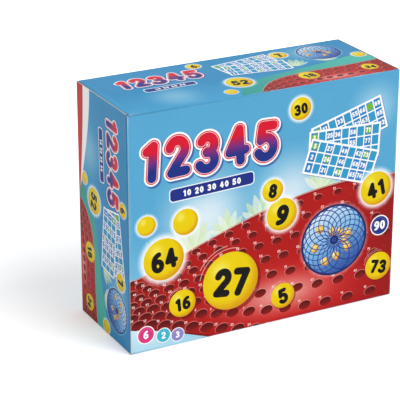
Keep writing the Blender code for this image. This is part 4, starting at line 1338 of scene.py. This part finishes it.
def cornered(half, height, low_corner, high_corner):
    """A board's outline round x = 0, from z = 0 up."""
    spots = ((1, low_corner, low_corner, -90), (1, height - high_corner, high_corner, 0),
             (-1, height - high_corner, high_corner, 90), (-1, low_corner, low_corner, 180))
    return np.concatenate([sweep((side * (half - corner), z), corner, start, start + 90, 14)
                           for side, z, corner, start in spots])


def pressed(loop, depth, foot=FOOT):
    """The walls of a recess, with a soft lip and a round foot."""
    return [(grown(loop, LIP), 0.0), (grown(loop, LIP * 0.3), LIP * 0.3), (loop, LIP), (loop, depth - foot),
            (grown(loop, -foot * 0.3), depth - foot * 0.3), (grown(loop, -foot), depth)]


def make_ball_board():
    """The red board: 90 numbered pockets with their rims, the chute with its dish, and the slots of the uprights."""
    mould = Mould(Board((0, BOARD_FACE, BOARD_FOOT), RIGHT, UP, BOARD_SIZE), RED)
    half, length = BOARD_SIZE[0] / 2, BOARD_SIZE[1]
    edge = cornered(half, length, *BOARD_CORNERS)
    meet = math.degrees(math.acos(CHUTE / DISH))
    chute = np.concatenate((sweep((0, DISH_PLACE), DISH, 180 - meet, 360 + meet, 34),
                            sweep((0, CHUTE_END), CHUTE, 0, 180, 15)))
    pockets = [oval(place, POCKET, 20) for place in pocket_places()]
    slots = [tablet(spot - SLOT, spot + SLOT, SLOT_CORNER, 3) for spot in np.array(((-1, 1), (1, 1))) * SLOT_PLACE]
    numbers = []
    for number, (x, z) in enumerate(pocket_places(), start=1):
        figures = numerals(str(number), NUMBER_HEIGHT, NUMBER_HALF, SMALL_PRINT)
        numbers.append(layer([loop + (x, z - NUMBER_DROP) for loop in figures], NUMBER_INK))
    frame_line = np.array(eased_profile(FRAME_LINE, FRAME_CORNER, True, 6))
    frames = [layer(stroke((frame_line * (sign, 1))[::sign], FRAME_HALF, True), NUMBER_INK) for sign in (-1, 1)]
    rings = [(grown(edge, inset), depth) for inset, depth in BOARD_EDGE]
    mould.flat(rings[0][0], 0.0, [grown(loop, LIP) for loop in pockets + [chute]] + slots, layers=numbers + frames)
    mould.wall(rings + [(edge, BOARD_HEIGHT)], outwards=True)
    for loop in pockets:
        mould.wall(pressed(loop, POCKET_DEPTH))
        mould.flat(grown(loop, -FOOT), POCKET_DEPTH)
    mould.wall(pressed(chute, CHUTE_DEPTH, CHUTE_FOOT))
    mould.flat(grown(chute, -CHUTE_FOOT), CHUTE_DEPTH)
    for loop in slots:
        mould.wall([(loop, 0.0), (loop, DECK)])

    wall, low, high = half - BOARD_WALL, BOARD_WALL, length - BOARD_WALL
    low_corner, high_corner = (corner - BOARD_WALL for corner in BOARD_CORNERS)
    dish_wall, dish_end = DISH + BOARD_WALL, DISH_PLACE + DISH + BOARD_WALL
    hollow = np.concatenate(([(dish_wall, low)], sweep((wall - low_corner, low + low_corner), low_corner, -90, 0, 8),
                             sweep((wall - high_corner, high - high_corner), high_corner, 0, 90, 12),
                             [(CHUTE + BOARD_WALL, high), (CHUTE + BOARD_WALL, dish_end), (dish_wall, dish_end)]))
    hollows = [hollow, (hollow * (-1, 1))[::-1]]
    mould.flat(edge, BOARD_HEIGHT, hollows, outwards=False)
    for loop, slot in zip(hollows, slots[::-1]):
        mould.wall([(loop, DECK), (loop, BOARD_HEIGHT)])
        mould.flat(loop, DECK, [slot], outwards=False)
    mould.piece("numbered_board", ["ball_board"], RED_DECK, "red_plastic")
    spots = [(x * MM, RIM_FACE, BOARD_FOOT + z * MM) for x, z in pocket_places()]
    rims = new_piece("pocket_rims", spots, [], [RED_PLASTIC])
    grow(rims, rim_tree(), Radius=RIM_RADIUS, Bead=RIM_BEAD, Finish=RED_PLASTIC)
    settled(rims, "carton", (), level=False)


# ---- the cage, its stand and its crank ----

CAGE_CENTRE = Vector((0, -0.009494, 0.2015))
LATTICE = {"Centre": CAGE_CENTRE, "Radius": 0.047, "Bar": 0.0018, "Ribs": 20, "Twist": math.radians(54),
           "Reach": math.radians(67.5), "Set_Off": 0.00105, "Outlet": 0.0107}
HUB_ENDS = (("left", -1, 65.5), ("right", 1, 61.0))
HUB = ((4, 51.4), (5.4, 50.2), (8.6, 49.9), (9.2, 49.3), (9.8, 49.6), (15.4, 47.9), (16.0, 47.3), (16.6, 47.5),
       (18.7, 46.8), (19.5, 46.0), (19.5, 43.6), (19.0, 43.0), (17.6, 43.0), (16, 44.2), (12, 45.4), (8, 46.6),
       (0, 46.9))
COLLAR = ((7.9, 50.2), (8.7, 51.0), (9.1, 51.0), (9.9, 50.2), (9.9, 48.6), (9.5, 48.2), (9.9, 47.8), (9.9, 45.0),
          (7.9, 45.0))
CRANK_TIP = CAGE_CENTRE + Vector((0, 0, -0.032))
GRIP_BORE, GRIP_RADIUS, GRIP_SWELL, GRIP_GROOVE = 3.3, 6, 1.5, 0.35
GRIP_START, GRIP_LENGTH, GRIP_STEPS = 88.1, 22, 24


def make_cage():
    """The two halves of the cage with their hubs, and the ring that lets out one ball."""
    tree = lattice_tree()
    for side, sign, end in HUB_ENDS:
        profile = eased_profile([(0, end), (3.0, end), (4, end - 1.0), *HUB], 0.35)
        hub = lathe(f"cage_{side}_shell", profile, CAGE_CENTRE, RIGHT * sign, BLUE, 48)
        grow(hub, tree, Side=float(sign), Finish=BLUE, **LATTICE)
        settled(hub, "cage", [f"cage_{side}_half"], level=False)
    collar = lathe("outlet_collar", eased_profile(COLLAR, 0.3, True), CAGE_CENTRE, UP, BLUE, 40, True)
    settled(collar, "cage", ["outlet_ring"])


def make_stand():
    """The uprights, their bearing caps, the crank arm and its knob."""
    for node in ("left_upright", "right_upright", "left_bearing_cap", "right_bearing_cap"):
        softened(node, "carton")
    softened("crank_arm", "cage")
    profile = [(GRIP_BORE, GRIP_START)]
    for place in range(GRIP_STEPS + 1):
        share = place / GRIP_STEPS
        groove = GRIP_GROOVE if place % 4 == 2 and 2 < place < GRIP_STEPS - 2 else 0.0
        swell = GRIP_RADIUS + GRIP_SWELL * math.sin(math.pi * share)
        profile.append((swell - groove, GRIP_START - GRIP_LENGTH * share))
    profile = eased_profile(profile + [(GRIP_BORE, GRIP_START - GRIP_LENGTH)], 0.5, True)
    grip = lathe("crank_grip", profile, CRANK_TIP, LEFT, RED_PLASTIC, 36, True)
    settled(grip, "knob", ["crank_knob"])


# ---- the balls and the cards ----

BALL, BALL_CAP, BALL_SIDES, BALL_SEAM, SEAM_DEPTH = 7.5, 0.66, 20, 0.045, 0.09
BALL_FIGURES, BALL_FIGURE_HALF, BALL_FIGURE_RISE = (5.4, 4.6), 0.14, 0.35
BALL_BAR = ((-2.0, -3.9), (2.0, -3.35), 0.25, 2)
BALL_SPACING, HEAP_REACH, HEAP_SLACK, HEAP_BALLS = 15.4, 37.35, 0.5, 64
BALL_PARTS, HEAP_LEVELS, BALLS_BELOW = 26, (2, 3, 4, 5), 7
CARD_SIZE, CARD_CORNER, CARD_BORDER, CARD_SHEET = (210, 140), 6, 3, 1.6
CARD_GROUNDS = (CARD_BLUE, CRIMSON, TEAL, ORANGE, LAVENDER, MAGENTA)


def number_ball(number):
    """A ball round the origin with its number on two sides: its points, faces and ink."""
    reach, text = BALL * BALL_CAP, str(number)
    marks = numerals(text, BALL_FIGURES[len(text) - 1], BALL_FIGURE_HALF, SMALL_PRINT)
    mark = layer([loop + (0, BALL_FIGURE_RISE) for loop in marks] + [tablet(*BALL_BAR)], BLACK)
    spots = np.concatenate([oval((0, 0), reach * share, 14, 7) for share in (0.35, 0.7)])
    points, triangles = cut_sheet(oval((0, 0), reach, BALL_SIDES), mark.loops, spots=spots)
    inks = painted([mark], points, triangles, YELLOW)
    away = np.hypot(*points.T)
    angle = away / BALL
    unit = points / np.maximum(away, 1e-9)[:, None]
    cap = np.column_stack((unit * np.sin(angle)[:, None], np.cos(angle))) * BALL
    count, middle = len(cap), math.pi / 2
    turns = np.linspace(0, 2 * math.pi, BALL_SIDES, endpoint=False)
    steps = [(tilt, 0.0) for tilt in np.linspace(BALL_CAP, middle - BALL_SEAM, 5)] + [(middle, SEAM_DEPTH)]
    steps += [(tilt, 0.0) for tilt in np.linspace(middle + BALL_SEAM, math.pi - BALL_CAP, 5)]
    rings = [np.column_stack((np.cos(turns) * math.sin(tilt), np.sin(turns) * math.sin(tilt),
                              np.full(BALL_SIDES, math.cos(tilt)))) * (BALL - dip) for tilt, dip in steps]
    shell = [[2 * count + corner for corner in face] for face in ring_faces(len(rings), BALL_SIDES, RISING)]
    faces = triangles.tolist() + (triangles + count).tolist() + shell
    return (np.concatenate([cap, cap * (1, -1, -1)] + rings) * MM, faces,
            np.concatenate([inks, inks, np.tile(YELLOW, (4 * len(shell), 1))]))


def heap_places():
    """Where the balls lie that fill the cage above its lowest ones, which are parts of their own."""
    lowest = -math.sqrt(HEAP_REACH ** 2 - BALL_SPACING ** 2)
    places = []
    for level in HEAP_LEVELS:
        z = lowest + level * BALL_SPACING * math.sqrt(2 / 3)
        shift = BALL_SPACING / math.sqrt(3) if level % 2 else 0.0
        spots = [(BALL_SPACING * (column + row / 2), BALL_SPACING * row * math.sqrt(3) / 2 + shift)
                 for row in range(-4, 5) for column in range(-5, 6)]
        spots = sorted((spot for spot in spots if math.hypot(*spot) ** 2 + z ** 2 <= HEAP_REACH ** 2 + HEAP_SLACK),
                       key=lambda spot: (round(math.hypot(*spot), 3), math.atan2(spot[1], spot[0])))
        places += [(x, y, z) for x, y in spots[BALLS_BELOW if level == HEAP_LEVELS[0] else 0:]]
    return places[:HEAP_BALLS]


def turned_ball(number):
    """A numbered ball with its own turn, different for each."""
    points, faces, inks = number_ball(number)
    turns = ((2.4 * number, "Z"), (1.1 + 0.9 * math.sin(1.7 * number), "X"), (0.8 * number, "Z"))
    first, second, third = (Matrix.Rotation(angle, 3, axis) for angle, axis in turns)
    return points @ np.array(first @ second @ third).T, faces, inks


def make_balls():
    """The 90 numbered balls: those that are parts of their own, and the heap on top of them."""
    for number in range(1, BALL_PARTS + 1):
        node = f"ball_{number:02d}"
        low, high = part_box(node)
        points, faces, inks = turned_ball(number)
        piece = new_piece(f"number_{node}", points + np.array((low + high) / 2), faces, [YELLOW_BALL], inks=inks)
        settled(piece, "carton", [node], level=False)
    heap = Mould(None, YELLOW)
    for number, place in enumerate(heap_places(), start=BALL_PARTS + 1):
        points, faces, inks = turned_ball(number)
        heap.add(points + np.array(CAGE_CENTRE) + np.array(place) * MM, faces, inks)
    heap.piece("ball_heap", (), YELLOW_BALL, "yellow_plastic", level=False)


def make_cards():
    """The number cards, each with two tickets on a ground of its own colour."""
    (width, height), middle = CARD_SIZE, CARD_SIZE[0] / 2
    for place, ground in enumerate(CARD_GROUNDS):
        node = f"card_{place + 1}"
        low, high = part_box(node)
        layers = [layer([tablet((-BLEED, -BLEED), (width + BLEED, height + BLEED), 1, 2)], ground),
                  layer([tablet((CARD_BORDER, CARD_BORDER), (width - CARD_BORDER, height - CARD_BORDER), 4.5)],
                        mixed(ground, WHITE, 0.25))]
        layers += scattered(ticket, ((middle, 104.5), 0, 196, 2 * place, (), 0.32, ground),
                            ((middle, 35.5), 0, 196, 2 * place + 1, (), 0.32, ground))
        board_piece(f"printed_{node}", "carton", node, Board((middle * MM, high.y, low.z), LEFT, UP, CARD_SIZE), layers,
                    CARD_PRINT, tablet((0, 0), CARD_SIZE, CARD_CORNER, 7), thickness=CARD_SHEET)


# ---- studio ----

FLOOR_TONE, FLOOR_RADIUS, FLOOR_DROP = np.array((0.965, 0.965, 0.968)), 9.0, -0.0002
FLOOR_LIFT, LIFT_START, LIFT_END, WORLD_LEVEL = 0.33, 0.5, 1.6, 0.5
LAMP_PLACE, LAMP_SPREAD, LAMP_POWER = Vector((0.31, -0.55, 0.775)), math.radians(36), 1.87
CAMERA_SENSOR, CAMERA_LENS, CAMERA_SHIFT, CAMERA_REACH = 36.0, 160.4, 0.003, 50
CAMERA_AZIMUTH, CAMERA_ELEVATION = math.radians(-27.759), math.radians(22.078)
CAMERA_PLACE = Vector((-0.8950, -1.6060, 0.8710))
PURE_WHITE = (1, 1, 1, 1)


def aimed(thing, place, away):
    """Puts a thing in its place, with its back to a direction."""
    thing.location = place
    thing.rotation_euler = (-away).to_track_quat("-Z", "Y").to_euler()


def add_floor():
    """A white floor that lifts towards the surround."""
    mesh = bpy.data.meshes.new("floor")
    bm = bmesh.new()
    bmesh.ops.create_circle(bm, cap_ends=True, segments=96, radius=FLOOR_RADIUS)
    bm.to_mesh(mesh)
    bm.free()
    floor = new_object("floor", mesh)
    floor.location.z = FLOOR_DROP
    material, tree, shader = new_finish("pale_floor")
    mesh.materials.append(material)
    places = object_places(tree)
    grain = noise(places, 140.0).ranged(0.3, 0.7)
    paths = add(tree, "ShaderNodeLightPath")
    lift = places.vectors("LENGTH")["Value"].ranged(LIFT_START, LIFT_END, FLOOR_LIFT, 1.0)
    give(shader, {"Base Color": blend(grain, lit(FLOOR_TONE * 0.997), lit(FLOOR_TONE)), "Roughness": 0.85,
                  "Specular IOR Level": 0.15, "Emission Color": PURE_WHITE,
                  "Emission Strength": paths["Is Camera Ray"].maths("MAXIMUM", paths["Is Glossy Ray"]) * lift})


def add_surround():
    """A white surround that looks brighter than it shines."""
    world = bpy.data.worlds.new("surround")
    bpy.context.scene.world = world
    world.use_nodes = True
    paths = add(world.node_tree, "ShaderNodeLightPath")
    seen = paths["Is Glossy Ray"].maths("MAXIMUM", paths["Is Transmission Ray"])
    level = paths["Is Camera Ray"].maths("MAXIMUM", seen).ranged(0.0, 1.0, WORLD_LEVEL, 1.0)
    give(world.node_tree.nodes["Background"], {"Color": PURE_WHITE, "Strength": level})


def add_lamp():
    """One broad, soft lamp from the front right."""
    data = bpy.data.lights.new("key", "SUN")
    data.angle, data.energy = LAMP_SPREAD, LAMP_POWER
    aimed(new_object("key", data), LAMP_PLACE, LAMP_PLACE)


def add_camera():
    """The camera, at the photograph's angle."""
    data = bpy.data.cameras.new("camera")
    data.sensor_width, data.lens = CAMERA_SENSOR, CAMERA_LENS
    data.clip_end, data.shift_x = CAMERA_REACH, CAMERA_SHIFT
    level, climb = math.cos(CAMERA_ELEVATION), math.sin(CAMERA_ELEVATION)
    camera = new_object("camera", data)
    aimed(camera, CAMERA_PLACE, Vector((math.sin(CAMERA_AZIMUTH) * level, -math.cos(CAMERA_AZIMUTH) * level, climb)))
    bpy.context.scene.camera = camera


# the printed boards whiten their edges: edge wear and a painted highlight
PRINTED, BLED = printed_finish("printed_board"), printed_finish("bled_board", wear_and_highlight_amount=0.4)
BARE_BOARD = plain_board_finish("bare_board", ink("c9c4b8"))
CUT_BOARD = plain_board_finish("cut_board", ink("c9c7bf"), 0.6)
CARD_PRINT = printed_finish("printed_card", 0.5, 0.5, CARD_BOX)
RED_PLASTIC, RED_DECK = plastic_finish("red_plastic", RED, 0.26), plastic_finish("red_deck", RED, 0.28, inked=True)
BLUE = plastic_finish("blue_plastic", ink("2146a0"), 0.24)
YELLOW_BALL = plastic_finish("yellow_plastic", YELLOW, 0.30, 0.1, inked=True)

for make in (make_carton, make_ball_board, make_cage, make_stand, make_balls, make_cards, add_floor, add_surround,
             add_lamp, add_camera):
    make()

scene = bpy.context.scene
scene.view_settings.view_transform = "Standard"
